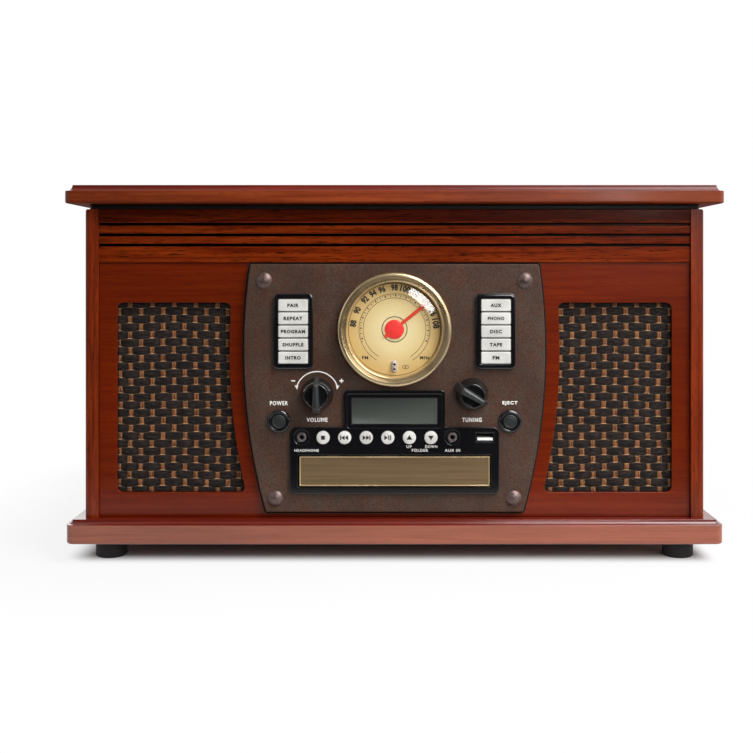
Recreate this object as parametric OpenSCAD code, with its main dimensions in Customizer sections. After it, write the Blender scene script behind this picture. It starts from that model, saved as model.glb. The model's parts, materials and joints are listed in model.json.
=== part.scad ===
// Table-top stereo music centre: a wooden cabinet with a radio, a record player
// under the lid, a disc drawer in the front and a cassette slot in the right side.
// Millimetres, +Z up, the front looks along -Y. The origin lies on the floor,
// under the middle of the box round the whole object.

/* [Cabinet] */
// Width of the lid, the widest piece
lid_w = 500; // [490:2:520]
// Depth of the lid from front to back
lid_d = 370; // [368:2:376]
// Thickness of the lid
lid_t = 14; // [13:0.5:18]
// Height of the lid's plain front face, below its moulding
lid_face = 9.4; // [8:0.2:10]
// Width of the base board
base_w = 498; // [486:2:516]
// Depth of the base board
base_d = 368; // [366:2:374]
// Thickness of the base board
base_t = 18; // [16:0.5:22]
// Height of the base board's plain front face, below its moulding
base_face = 14.6; // [13:0.2:15]
// Height of the rubber feet
foot_h = 15; // [8:1:25]
// Radius of the rubber feet
foot_r = 12; // [9:0.5:16]
// Width of the cabinet between its outer faces
body_w = 474; // [472:1:480]
// Depth of the cabinet's side panels
body_d = 346; // [344:1:350]
// Thickness of the side panels
side_t = 10; // [9:0.5:10]
// Thickness of the rear panel
rear_t = 6; // [5:0.5:7]

/* [Front] */
// Thickness of the front baffle
baffle_t = 12; // [11:0.5:12]
// Set-back of the baffle from the side panels' front edges
baffle_in = 3; // [2:0.5:4]
// Height of the fluted trim under the lid
trim_h = 40.8; // [38:0.2:42]
// Thickness of the fluted trim
trim_t = 12.5; // [11:0.5:13]
// Distance that the fluted trim stands out from the baffle
trim_out = 1.5; // [0.5:0.5:2.5]
// Width of the grooves in the fluted trim
groove_w = 1.7; // [1:0.1:2.5]
// Height of the lower edge of the control plate
plate_low = 37.2; // [35:0.2:40]
// Height of the upper edge of the control plate
plate_high = 226.9; // [224:0.1:228]
// Half of the control plate's greatest width
plate_half_w = 115.2; // [113:0.2:116]
// Radius of the control plate's bowed sides
plate_bow_r = 463; // [440:1:500]
// Height of the middle of the bowed sides
plate_bow_z = 161; // [155:1:165]

/* [Speakers] */
// Distance of the grille's outer edge from the middle
grille_out = 213; // [205:1:216]
// Height of the grille's lower edge
grille_low = 51.8; // [48:0.2:56]
// Height of the grille's upper edge
grille_high = 197.3; // [190:0.1:202]
// Gap between the control plate and the grille
grille_gap = 11.7; // [9:0.1:14]
// Depth of the grille cloth behind the baffle's face
cloth_in = 4.5; // [3:0.1:5]
// Radius of the loudspeakers' frames
driver_r = 48; // [44:0.5:49]

/* [Dial and controls] */
// Height of the middle of the tuning dial
dial_z = 177; // [176:0.5:178]
// Outer radius of the dial's metal bezel
dial_r = 43.5; // [43:0.1:44]
// Radius of the part of the dial that shows
dial_face_r = 36.3; // [35.5:0.1:37]
// Length of the pointer from its axis
pointer_l = 31.8; // [28:0.1:34]
// Angle of the pointer above the level, on the right
pointer_deg = 38.8; // [8:0.1:172]
// Turns of the tuning knob for each turn of the pointer
tuning_ratio = 3; // [3:1:3]
// Distance of the two key banks from the middle
key_x = 77.2; // [76:0.2:78]
// Height of the middle of the key banks
key_z = 175.6; // [174:0.2:178]
// Width of a key
key_w = 22.7; // [21:0.1:23]
// Height of a key
key_h = 9.05; // [8:0.05:9.3]
// Distance from one key to the next
key_pitch = 9.97; // [9.9:0.01:10.4]
// Distance of the two knobs from the middle
knob_x = 59.2; // [58:0.2:60]
// Height of the knobs' axes
knob_z = 127.3; // [126.8:0.1:130]
// Radius of the knobs' skirts
knob_r = 12.8; // [11:0.2:13.4]
// Height of the knobs above the control plate
knob_h = 19; // [16:0.5:22]
// Distance of the two round push buttons from the middle
button_x = 88.3; // [87:0.1:89]
// Height of the two round push buttons
button_z = 106.7; // [106:0.1:110]
// Radius of the two round push buttons
button_r = 5.5; // [4.5:0.1:5.6]

/* [Disc drawer] */
// Half of the gloss fascia's width
fascia_half_w = 79.9; // [79.5:0.1:81]
// Height of the fascia's lower edge
fascia_low = 51.5; // [50:0.1:52]
// Height of the fascia's shoulder
fascia_high = 102.5; // [102:0.1:104]
// Half of the width of the fascia's display tab
tab_half_w = 38.6; // [38:0.1:40]
// Height of the top of the display tab
tab_high = 130.8; // [129:0.1:132]
// Width of the drawer's front
drawer_w = 145; // [142:0.5:145]
// Height of the drawer's front
drawer_h = 22.6; // [21:0.1:22.8]
// Height of the middle of the drawer's front
drawer_z = 69.1; // [69:0.1:69.3]
// Travel of the disc drawer
drawer_travel = 138; // [130:1:140]
// Height of the row of sockets and small buttons
row_z = 94.8; // [94.5:0.1:95.5]
// Distance from one small button to the next
row_pitch = 16.43; // [15.5:0.01:16.5]
// Radius of the small buttons
small_r = 4.8; // [4:0.1:5]

/* [Record deck] */
// Sideways place of the record spindle
spindle_x = -52; // [-56:1:-50]
// Depth place of the record spindle
spindle_y = 7; // [5:1:9]
// Radius of the record spindle
spindle_r = 3.58; // [3.55:0.01:3.6]
// Radius of the platter
platter_r = 110; // [105:1:116]
// Sideways place of the tonearm's pivot
arm_x = 110; // [108:1:114]
// Depth place of the tonearm's pivot
arm_y = 85; // [83:1:88]
// Length of the tonearm's tube from its pivot
arm_l = 169; // [160:1:172]
// Angle of the headshell to the tube
head_deg = 22; // [18:1:25]

/* [Cassette slot] */
// Depth place of the middle of the cassette slot
slot_y = 10; // [6:1:14]
// Height of the lower edge of the slot
slot_low = 144; // [140:1:150]
// Length of the slot
slot_l = 104; // [104:0.5:106]
// Height of the slot
slot_h = 18; // [18:0.5:20]

/* [Hidden] */
$fn = 96;
gap = 0.3;
eps = 1;

// Heights of the stacked boards
base_z = foot_h;
body_z = base_z + base_t;
body_h = 236;
body_top = body_z + body_h;
rim_t = 3.7;
lid_z = body_top + rim_t + gap;

// Depth planes, front to back
plate_t = 4;
plate_out = plate_t - baffle_in;
cabinet_y = (body_d / 2 + plate_out + knob_h - lid_d / 2) / 2;
body_front = cabinet_y - body_d / 2;
body_back = cabinet_y + body_d / 2;
baffle_front = body_front + baffle_in;
baffle_back = baffle_front + baffle_t;
plate_front = baffle_front - plate_t;
rear_back = body_back - 2;
rear_front = rear_back - rear_t;
inner_w = body_w - 2 * side_t;
trim_low = body_top - trim_h;

// Moulded edges of the base and the lid
edge_r = 6;
ledge = 0.8;

// Deck tray under the lid
tray_wall = 3;
tray_half_w = inner_w / 2 - 3;
tray_front = baffle_back + 2;
tray_back = rear_front - 3;
tray_low = 222;
deck_top = tray_low + tray_wall;
lid_hollow = 6;

// Layers of the record drive, above the deck
platter_low = deck_top + 2.5;
platter_t = 12.5;
mat_t = 2.5;
mat_top = platter_low + platter_t + mat_t;
drive_ring_r = 70;
pulley_r = 6;
pulley_x = spindle_x - 65;
pulley_y = spindle_y + 65;
belt_z = platter_low + 2;
belt_w = 5;
shaft_r = 1;
run_fit = 0.05;
arm_z = mat_top + 15.5;
arm_tube_r = 4;
rest_y = arm_y - 140;

// Printed circuit board behind the controls
board_y = baffle_back + 7;
switch_t = 2.5;
stem_back = board_y - switch_t - 2.5;
drum_r = 22;
drum_y = baffle_back + 1.5;
drum_t = 3;
fascia_t = 2.5;
fascia_front = plate_front - fascia_t;
window_half_w = 77.5;
window_low = 54;
window_high = 100.5;
window_tab_half_w = 36.2;
window_tab_high = 128;
row_x0 = -54.4;
jack_r = 1.8;
headphone_x = row_x0 - row_pitch;
aux_x = row_x0 + 6 * row_pitch;
usb_x = 69;
rivet_places = [[99.7, 214.4], [91.1, 47.6]];

// Cassette slot
slot_high = slot_low + slot_h;
door_axis_z = slot_high - 1.5;
door_x = body_w / 2 - 2;
cassette_button_y = slot_y + slot_l / 2 + 16;
cassette_button_z = slot_low + slot_h / 2;

// Hinges of the lid
hinge_x = 150;
hinge_w = 40;
hinge_y = rear_back + 2.6;
hinge_z = lid_z - 2.3;
knuckle_r = 2.1;
hinge_pin_r = 1.2;

// Colours
wood = "#7a3018";
wood_dark = "#5c1d0c";
black = "#161616";
steel = "#a8a8a8";
brass = "#c8b682";
white = "#eeeee8";
rubber = "#1c1a18";

// Plain solids along an axis
module y_rod(x, z, r, y0, y1) {
  translate([x, y1, z]) rotate([90, 0, 0]) cylinder(r = r, h = y1 - y0);
}

module x_rod(y, z, r, x0, x1) {
  translate([x0, y, z]) rotate([0, 90, 0]) cylinder(r = r, h = x1 - x0);
}

module z_rod(x, y, r, z0, z1) {
  translate([x, y, z0]) cylinder(r = r, h = z1 - z0);
}

module block(x0, x1, y0, y1, z0, z1) {
  translate([x0, y0, z0]) cube([x1 - x0, y1 - y0, z1 - z0]);
}

// Stands an outline drawn in X and Z up between two depths
module facing(y0, y1) {
  translate([0, y1, 0]) rotate([90, 0, 0]) linear_extrude(y1 - y0) children();
}

// Turns a profile of radius and height about an axis along -Y
module turned(x, z, y) {
  translate([x, y, z]) rotate([90, 0, 0]) rotate_extrude() children();
}

module rounded(w, h, r) {
  square([w - 2 * r, h], center = true);
  square([w, h - 2 * r], center = true);
  for (sx = [-1, 1], sy = [-1, 1])
    translate([sx * (w / 2 - r), sy * (h / 2 - r)]) circle(r);
}

module both_sides() {
  for (s = [-1, 1]) scale_side(s) children();
}

module scale_side(s) {
  if (s > 0) children();
  else mirror([1, 0, 0]) children();
}

// Board with a coved moulding round its upper edge
module edge_profile(t, face_h) {
  difference() {
    union() {
      square([edge_r, face_h]);
      square([edge_r - ledge, t]);
    }
    translate([edge_r - ledge, t]) circle(r = t - face_h);
  }
}

module moulded_board(w, d, t, face_h) {
  in_w = w / 2 - edge_r;
  in_d = d / 2 - edge_r;
  block(-in_w, in_w, -in_d, in_d, 0, t);
  for (sy = [0, 1]) mirror([0, sy, 0])
    translate([-in_w, in_d, 0]) rotate([90, 0, 90])
      linear_extrude(2 * in_w) edge_profile(t, face_h);
  for (sx = [0, 1]) mirror([sx, 0, 0])
    translate([in_w, in_d, 0]) rotate([90, 0, 0])
      linear_extrude(2 * in_d) edge_profile(t, face_h);
  for (sx = [0, 1], sy = [0, 1]) mirror([sx, 0, 0]) mirror([0, sy, 0])
    translate([in_w, in_d, 0]) rotate_extrude(angle = 90) edge_profile(t, face_h);
}

// Cabinet
foot_in = 28;

module foot_places() {
  for (sx = [-1, 1], sy = [-1, 1])
    translate([sx * (base_w / 2 - foot_in), cabinet_y + sy * (base_d / 2 - foot_in), 0])
      children();
}

module base_board() {
  color(wood) translate([0, cabinet_y, base_z])
    moulded_board(base_w, base_d, base_t, base_face);
}

module feet() {
  soft_edge = 1.5;
  color(rubber) foot_places() {
    cylinder(r1 = foot_r - soft_edge, r2 = foot_r, h = soft_edge);
    translate([0, 0, soft_edge]) cylinder(r = foot_r, h = foot_h - soft_edge);
  }
}

screw_heights = [50, 125, 200];
screw_x = inner_w / 2 - 9;
screw_r = 1.5;

module side_blank(s) {
  edge = 2.5;
  x_mid = s * (body_w / 2 - side_t / 2);
  intersection() {
    translate([x_mid, cabinet_y, body_z]) linear_extrude(body_h)
      union() {
        translate([-s * side_t / 4, 0]) square([side_t / 2, body_d], center = true);
        rounded(side_t, body_d, edge);
      }
    facing(body_front - eps, body_back + eps) union() {
      translate([-body_w / 2, body_z]) square([body_w, body_h - edge]);
      translate([-body_w / 2 + edge, body_z]) square([body_w - 2 * edge, body_h]);
      for (sx = [-1, 1])
        translate([sx * (body_w / 2 - edge), body_top - edge]) circle(edge);
    }
  }
}

module side_panel(s) {
  block_w = 18;
  block_d = 14;
  difference() {
    union() {
      side_blank(s);
      scale_side(s) block(inner_w / 2 - block_w, inner_w / 2, rear_front - block_d,
        rear_front, body_z + 3, tray_low - 4);
    }
    for (z = screw_heights)
      y_rod(s * screw_x, z, screw_r + run_fit, rear_front - block_d + 2, rear_front + eps);
  }
}

module side_panel_left() {
  color(wood) side_panel(-1);
}

module side_panel_right() {
  y0 = slot_y - slot_l / 2;
  y1 = slot_y + slot_l / 2;
  color(wood) difference() {
    side_panel(1);
    block(inner_w / 2 - eps, body_w / 2 + eps, y0, y1, slot_low, slot_high);
    x_rod(slot_y, door_axis_z, 1 + run_fit, door_x, door_x + 0.01);
    translate([door_x, y0 - 3, door_axis_z]) rotate([-90, 0, 0])
      cylinder(r = 1 + run_fit, h = slot_l + 6);
    x_rod(cassette_button_y, cassette_button_z, 4.4, inner_w / 2 - eps, body_w / 2 + eps);
  }
}

// Outline between the two speaker grilles and round each grille
module bow(half_w) {
  translate([half_w - plate_bow_r, plate_bow_z]) circle(r = plate_bow_r, $fn = 360);
}

module grille_outline(r) {
  bow_x = plate_half_w - plate_bow_r;
  bow_r = plate_bow_r + grille_gap;
  mid_z = (grille_low + grille_high) / 2;
  h = grille_high - grille_low;
  w = grille_out - plate_half_w + 10;
  difference() {
    translate([grille_out - w / 2, mid_z]) square([w, h - 2 * r], center = true);
    translate([bow_x, plate_bow_z]) circle(r = bow_r, $fn = 360);
  }
  difference() {
    translate([grille_out - w / 2 - r, mid_z]) square([w, h], center = true);
    translate([bow_x, plate_bow_z]) circle(r = bow_r + r, $fn = 360);
  }
  for (z = [grille_low + r, grille_high - r]) {
    translate([grille_out - r, z]) circle(r);
    translate([bow_x + sqrt((bow_r + r) * (bow_r + r) - (z - plate_bow_z) * (z - plate_bow_z)), z])
      circle(r);
  }
}

driver_x = 167;
driver_z = (grille_low + grille_high) / 2;
driver_hole_r = 44;
cloth_t = 1.5;

// Openings that the control plate and the baffle share
module window_outline() {
  translate([-window_half_w, window_low])
    square([2 * window_half_w, window_high - window_low]);
  translate([-window_tab_half_w, window_high - eps])
    square([2 * window_tab_half_w, window_tab_high - window_high + eps]);
}

bank_h = 4 * key_pitch + key_h;

module control_holes() {
  window_outline();
  for (s = [-1, 1]) {
    translate([s * key_x, key_z]) square([key_w + 0.8, bank_h + 0.8], center = true);
    translate([s * knob_x, knob_z]) circle(5);
    translate([s * button_x, button_z]) circle(button_r + 0.4);
    for (p = rivet_places) translate([s * p[0], p[1]]) circle(2 + run_fit);
  }
}

module front_baffle() {
  color(wood_dark) difference() {
    facing(baffle_front, baffle_back) difference() {
      translate([-inner_w / 2, body_z]) square([inner_w, trim_low - body_z]);
      control_holes();
      translate([0, dial_z]) circle(30);
      for (s = [-1, 1]) translate([s * driver_x, driver_z]) circle(driver_hole_r);
    }
    both_sides() facing(baffle_front - eps, baffle_front + cloth_in + cloth_t)
      grille_outline(5);
  }
}

module fluted_trim() {
  y0 = baffle_front - trim_out;
  groove_d = 1.4;
  color(wood_dark) difference() {
    block(-inner_w / 2, inner_w / 2, y0, y0 + trim_t, trim_low, body_top);
    for (z = [257.6, 249.3, 241.5])
      block(-inner_w / 2 - eps, inner_w / 2 + eps, y0 - eps, y0 + groove_d,
        z - groove_w / 2, z + groove_w / 2);
  }
}

// Rear panel with its vents, socket holes and screw holes
phono_x = [112, 130];
phono_z = 66;
inlet_x = -168;
inlet_z = 62;

module rear_panel() {
  color(black) facing(rear_front, rear_back) difference() {
    translate([-inner_w / 2 + gap, body_z]) square([inner_w - 2 * gap, body_h]);
    for (s = [-1, 1], z = screw_heights)
      translate([s * screw_x, z]) circle(screw_r + run_fit);
    for (x = phono_x) translate([x, phono_z]) circle(5.3);
    translate([inlet_x, inlet_z]) square([22.6, 12.6], center = true);
    for (i = [0 : 11]) translate([-195 + 10 * i, 150]) rounded(4, 44, 1.9);
  }
}

module deck_plinth() {
  rim_half_w = body_w / 2 - 2.5;
  rim_front = body_front + 2.5;
  rim_back = rear_back - 0.5;
  rim_r = 3;
  color(black) difference() {
    union() {
      translate([0, (rim_front + rim_back) / 2, body_top]) linear_extrude(rim_t)
        rounded(2 * rim_half_w, rim_back - rim_front, rim_r);
      block(-tray_half_w, tray_half_w, tray_front, tray_back, tray_low, body_top + eps);
    }
    block(-tray_half_w + tray_wall, tray_half_w - tray_wall, tray_front + tray_wall,
      tray_back - tray_wall, deck_top, lid_z + eps);
    z_rod(spindle_x, spindle_y, spindle_r + 0.6, tray_low - eps, deck_top + eps);
    z_rod(pulley_x, pulley_y, 9, tray_low - eps, deck_top + eps);
    z_rod(arm_x, arm_y, 4 + run_fit, tray_low - eps, deck_top + eps);
    block(speed_x - 2, speed_x + 2, speed_y - 4, speed_y + speed_travel + 4,
      tray_low - eps, deck_top + eps);
  }
  color(black) {
    arm_rest();
    cue_stand();
  }
}

module arm_rest() {
  shelf_z = arm_z - arm_tube_r - gap;
  z_rod(arm_x, rest_y, 4, deck_top - eps, shelf_z - 3);
  block(arm_x - 7, arm_x + 7, rest_y - 4, rest_y + 4, shelf_z - 3, shelf_z);
}

// Bracket of the cue lever
cue_x = 150;
cue_y = 62;
cue_z = deck_top + 9;
cue_pin_r = 1.5;

module cue_stand() {
  difference() {
    union() {
      block(cue_x - 9, cue_x + 9, cue_y - 7, cue_y + 7, deck_top - eps, deck_top + 2);
      for (s = [-1, 1]) translate([s * 7, 0, 0])
        block(cue_x - 2, cue_x + 2, cue_y - 4, cue_y + 4, deck_top, cue_z + 4);
    }
    x_rod(cue_y, cue_z, cue_pin_r + run_fit, cue_x - 20, cue_x + 20);
  }
}

speed_x = 168;
speed_y = -70;
speed_travel = 16;

// Lid, with its hollow over the deck
module lid() {
  color(wood) difference() {
    translate([0, cabinet_y, lid_z]) moulded_board(lid_w, lid_d, lid_t, lid_face);
    block(-tray_half_w + 8, tray_half_w - 8, tray_front + 8, tray_back - 8,
      lid_z - eps, lid_z + lid_hollow);
  }
}

// Three-knuckle hinges: the pin stays in the cabinet's leaf
knuckle_w = 12;

module cabinet_hinge_leaves() {
  leaf_t = 1.2;
  leaf_h = 26;
  color(brass) for (s = [-1, 1]) {
    x0 = s * hinge_x - hinge_w / 2;
    x1 = s * hinge_x + hinge_w / 2;
    difference() {
      union() {
        block(x0, x1, rear_back, rear_back + leaf_t, hinge_z - leaf_h, hinge_z);
        for (x = [x0, x1 - knuckle_w]) {
          x_rod(hinge_y, hinge_z, knuckle_r, x, x + knuckle_w);
          block(x, x + knuckle_w, rear_back, hinge_y, hinge_z - knuckle_r, hinge_z);
        }
        x_rod(hinge_y, hinge_z, hinge_pin_r, x0, x1);
      }
      block(x0 + knuckle_w, x1 - knuckle_w, rear_back - eps, hinge_y - hinge_pin_r - run_fit,
        hinge_z - knuckle_r - 0.6, hinge_z + eps);
    }
  }
}

module lid_hinge_leaves() {
  leaf_t = 1.1;
  leaf_l = 9.5;
  side_gap = 0.2;
  color(brass) for (s = [-1, 1]) {
    x0 = s * hinge_x - hinge_w / 2;
    x1 = s * hinge_x + hinge_w / 2;
    m0 = x0 + knuckle_w + side_gap;
    m1 = x1 - knuckle_w - side_gap;
    difference() {
      union() {
        x_rod(hinge_y, hinge_z, knuckle_r, m0, m1);
        block(m0, m1, hinge_y, hinge_y + leaf_l, lid_z - leaf_t, lid_z);
        block(m0, m1, hinge_y, hinge_y + knuckle_r, hinge_z, lid_z);
        block(x0, x1, hinge_y + knuckle_r + 0.6, hinge_y + leaf_l, lid_z - leaf_t, lid_z);
      }
      x_rod(hinge_y, hinge_z, hinge_pin_r + run_fit, m0 - eps, m1 + eps);
    }
  }
}

module cabinet_screws() {
  head_r = 3.5;
  head_t = 1.6;
  socket_r = 1.5;
  color(steel) for (s = [-1, 1], z = screw_heights) difference() {
    union() {
      y_rod(s * screw_x, z, head_r, rear_back, rear_back + head_t);
      y_rod(s * screw_x, z, screw_r, rear_front - 10, rear_back);
    }
    y_rod(s * screw_x, z, socket_r, rear_back + 0.6, rear_back + head_t + eps);
  }
}

// Loudspeakers
module speaker_cloths() {
  y0 = baffle_front + cloth_in;
  color("#3a322c") both_sides() facing(y0, y0 + cloth_t) grille_outline(5);
}

module speaker_drivers() {
  magnet_r = 30;
  color("#2a2a2a") for (s = [-1, 1]) turned(s * driver_x, driver_z, baffle_back) difference() {
    polygon([[0, -44], [magnet_r, -44], [magnet_r, -30], [22, -28], [40, -8], [driver_r, -6],
      [driver_r, 0], [41, 0], [18, -20], [14, -16], [0, -14]]);
  }
}

// Control plate and what sits on it
module control_plate() {
  color("#4c382e") facing(plate_front, baffle_front) difference() {
    intersection() {
      translate([-plate_half_w, plate_low])
        square([2 * plate_half_w, plate_high - plate_low]);
      bow(plate_half_w);
      mirror([1, 0, 0]) bow(plate_half_w);
    }
    control_holes();
    translate([0, dial_z]) circle(r = dial_r - 4);
  }
}

module plate_rivets() {
  dome_r = 6.25;
  dome_h = 3;
  ball_r = (dome_r * dome_r + dome_h * dome_h) / (2 * dome_h);
  color("#8d7a52") for (s = [-1, 1], p = rivet_places) {
    turned(s * p[0], p[1], plate_front) intersection() {
      translate([0, dome_h - ball_r]) circle(ball_r);
      square([dome_r, dome_h]);
    }
    y_rod(s * p[0], p[1], 2, plate_front, baffle_back - 2);
  }
}

module control_bezels() {
  bezel_t = 3;
  color(black) for (s = [-1, 1]) {
    facing(plate_front - bezel_t, plate_front) difference() {
      translate([s * key_x, key_z]) rounded(29.2, 57, 3.2);
      translate([s * key_x, key_z]) rounded(key_w + 0.7, bank_h + 0.7, 0.8);
    }
    turned(s * button_x, button_z, plate_front) difference() {
      union() {
        translate([button_r + 0.3, 0]) square([3, 1.2]);
        translate([button_r + 1.8, 1.2]) circle(1.2);
      }
      translate([0, -3]) square([button_r + 0.3, 9]);
      translate([0, -3]) square([20, 3]);
    }
  }
}

module dial_bezel() {
  skirt_r = dial_r - 5.3;
  color(brass) turned(0, dial_z, plate_front) {
    translate([skirt_r, 0]) square([dial_r - skirt_r, 4.4]);
    translate([dial_r - 2.5, 4.4]) circle(2.5);
    translate([dial_face_r, 2.6]) square([skirt_r + 0.7 - dial_face_r, 0.8]);
    translate([dial_face_r, 2.6]) square([1.3, 1.4]);
    translate([dial_face_r + 0.65, 4]) circle(0.65);
    translate([skirt_r, -plate_t]) square([1.1, plate_t + 0.5]);
  }
}

module dial_glass() {
  color([0.9, 0.95, 1, 0.35])
    y_rod(0, dial_z, dial_r - 5.4, plate_front - 2.5, plate_front - 1.1);
}

module dial_face() {
  color("#e2cc8c") difference() {
    y_rod(0, dial_z, dial_r - 5.4, baffle_front - 2, baffle_front);
    y_rod(0, dial_z, 2 + run_fit, baffle_front - 3, baffle_front + 1);
  }
}

module dial_pointer() {
  hub_r = 7.15;
  hub_back = baffle_front - 2.4;
  hub_front = plate_front - 0.5;
  color("#d6452c") {
    y_rod(0, dial_z, hub_r, hub_front, hub_back);
    y_rod(0, dial_z, 2, hub_back, board_y + 1.6);
    y_rod(0, dial_z, drum_r, drum_y, drum_y + drum_t);
    translate([0, 0, dial_z]) rotate([0, -pointer_deg, 0])
      block(0, pointer_l, plate_front + 0.3, plate_front + 1.1, -1.35, 1.35);
  }
}

// Pointer knob on a coned skirt, with its shaft. Its grip narrows towards the tip, and both
// ends slope down to the flange
module pointer_knob(s, turn) {
  tip_w = 2.6;
  tail_w = 6.8;
  grip_half_top = 9;
  tip_l = knob_r + 1;
  tail_l = knob_r + 1.8;
  flange_t = 2;
  skirt_h = 12;
  foot = flange_t - 0.5;
  turned(s * knob_x, knob_z, plate_front)
    polygon([[0, gap], [knob_r, gap], [knob_r, flange_t], [knob_r - 3, skirt_h - 0.8],
      [knob_r - 3.8, skirt_h], [0, skirt_h]]);
  translate([s * knob_x, plate_front, knob_z]) rotate([0, turn, 0]) intersection() {
    translate([-tail_w / 2, 0, 0]) rotate([90, 0, 90]) linear_extrude(tail_w)
      polygon([[-foot, -tail_l], [-foot, tip_l], [-knob_h, grip_half_top],
        [-knob_h, -grip_half_top]]);
    facing(-knob_h, -foot)
      polygon([[-tail_w / 2, -tail_l], [tail_w / 2, -tail_l], [tip_w / 2, tip_l],
        [-tip_w / 2, tip_l]]);
  }
  y_rod(s * knob_x, knob_z, 3, plate_front - 1, board_y + 1.6);
}

module volume_knob() {
  color(black) pointer_knob(-1, 0);
}

module tuning_knob() {
  color(black) {
    pointer_knob(1, 120);
    y_rod(knob_x, knob_z, drum_r / tuning_ratio, drum_y, drum_y + drum_t);
  }
}

module round_button(s) {
  crown = 1;
  y_rod(s * button_x, button_z, button_r, plate_front - 2.2, stem_back);
  y_rod(s * button_x, button_z, button_r - crown, plate_front - 2.8, plate_front - 2.2);
}

module power_button() {
  color(black) round_button(-1);
}

module eject_button() {
  color(black) round_button(1);
}

// Keys are counted from the top
module key(s, n) {
  z = key_z + (3 - n) * key_pitch;
  color(white) translate([s * key_x, 0, z]) {
    facing(plate_front - 4.2, plate_front - 1) rounded(key_w, key_h, 0.8);
    facing(plate_front - 1, stem_back) square([key_w - 1, key_h - 0.6], center = true);
  }
}

// Disc drawer and its fascia
module fascia_outline() {
  r = 4.7;
  h = fascia_high - fascia_low;
  translate([0, (fascia_low + fascia_high) / 2]) rounded(2 * fascia_half_w, h, r);
  translate([0, (tab_high + fascia_low + 20) / 2])
    rounded(2 * tab_half_w, tab_high - fascia_low - 20, 3);
}

lcd_w = 64.8;
lcd_h = 19.5;
lcd_z = 114.85;
opening_w = drawer_w + 2;
opening_h = drawer_h + 1.6;

module cd_fascia() {
  sleeve_t = 1.6;
  color(black) {
    difference() {
      facing(fascia_front, plate_front) difference() {
        fascia_outline();
        translate([0, drawer_z]) square([opening_w, opening_h], center = true);
        for (i = [0 : 5]) translate([row_x0 + i * row_pitch, row_z]) circle(small_r + 0.2);
        for (x = [headphone_x, aux_x]) translate([x, row_z]) circle(3.7);
        translate([usb_x, row_z]) square([14.2, 7.1], center = true);
        translate([0, lcd_z]) square([lcd_w + 0.4, lcd_h + 0.4], center = true);
      }
      for (x = [headphone_x, aux_x])
        y_rod(x, row_z, 5.65, fascia_front - eps, fascia_front + 1);
      facing(fascia_front - eps, fascia_front + 0.8) translate([0, lcd_z])
        square([lcd_w + 7, lcd_h + 6], center = true);
    }
    facing(plate_front, baffle_back + 1) difference() {
      translate([0, drawer_z])
        square([opening_w + 2 * sleeve_t, opening_h + 2 * sleeve_t], center = true);
      translate([0, drawer_z]) square([opening_w, opening_h], center = true);
    }
  }
}

module display_module() {
  color("#4f534f") {
    facing(fascia_front + 1, plate_front + 0.1) translate([0, lcd_z])
      square([lcd_w, lcd_h], center = true);
    facing(plate_front + 0.1, plate_front + 8) translate([0, lcd_z])
      square([lcd_w + 6, lcd_h + 5], center = true);
  }
}

tray_w = 132;
disc_r = 61;
disc_y = plate_front + 2 + 10 + disc_r;
tray_floor = 64;
tray_top = 76;
recess_floor = tray_top - 4;
tray_end = disc_y + disc_r + 49;
mech_front = baffle_back + 7;
mech_half_w = 74.5;
mech_low = 48;
mech_top = 88;
mech_wall = 1.8;

module cd_mechanism() {
  back = tray_end + 14;
  lid_hole_r = 20;
  color("#8f9294") {
    difference() {
      block(-mech_half_w, mech_half_w, mech_front, back, mech_low, mech_top);
      block(-mech_half_w + mech_wall, mech_half_w - mech_wall, mech_front - eps,
        back - mech_wall, mech_low + mech_wall, mech_top - mech_wall);
      z_rod(0, disc_y, lid_hole_r, mech_top - 5, mech_top + eps);
    }
    for (s = [-1, 1])
      block(s * 69 - 4, s * 69 + 4, mech_front, back - mech_wall, mech_low + 1, tray_floor - gap);
    z_rod(0, disc_y, 15, mech_low + 1, tray_floor - 6);
    z_rod(0, disc_y, 7, mech_low + 1, tray_floor - 1);
    for (x = [-60, 60], y = [mech_front + 20, back - 20])
      z_rod(x, y, 4, body_z, mech_low + 1);
    block(-24, 24, disc_y - 6, disc_y + 6, mech_top - 0.5, mech_top + 3);
  }
}

module cd_tray() {
  front = plate_front + 0.5;
  color("#2c2c2e") difference() {
    block(-tray_w / 2, tray_w / 2, front, tray_end, tray_floor, tray_top);
    z_rod(0, disc_y, disc_r, recess_floor, tray_top + eps);
    z_rod(0, disc_y, 20, tray_floor - eps, tray_top + eps);
    block(-13, 13, disc_y, disc_y + 44, tray_floor - eps, tray_top + eps);
    block(-tray_w / 2 + 3, tray_w / 2 - 3, front + 3, tray_end - 3,
      tray_floor - eps, recess_floor - 3);
  }
}

module cd_tray_front() {
  color("#94804f") facing(fascia_front - 1, plate_front + 0.5)
    translate([0, drawer_z]) square([drawer_w, drawer_h], center = true);
}

module small_button(i) {
  color(white) y_rod(row_x0 + i * row_pitch, row_z, small_r, fascia_front - 1.1, stem_back);
}

// Sockets on the front and the back
module jack(x) {
  difference() {
    union() {
      y_rod(x, row_z, 3.55, fascia_front + 0.5, plate_front);
      y_rod(x, row_z, 5, plate_front, plate_front + 14);
    }
    y_rod(x, row_z, jack_r, fascia_front - eps, plate_front + 12);
  }
}

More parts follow.
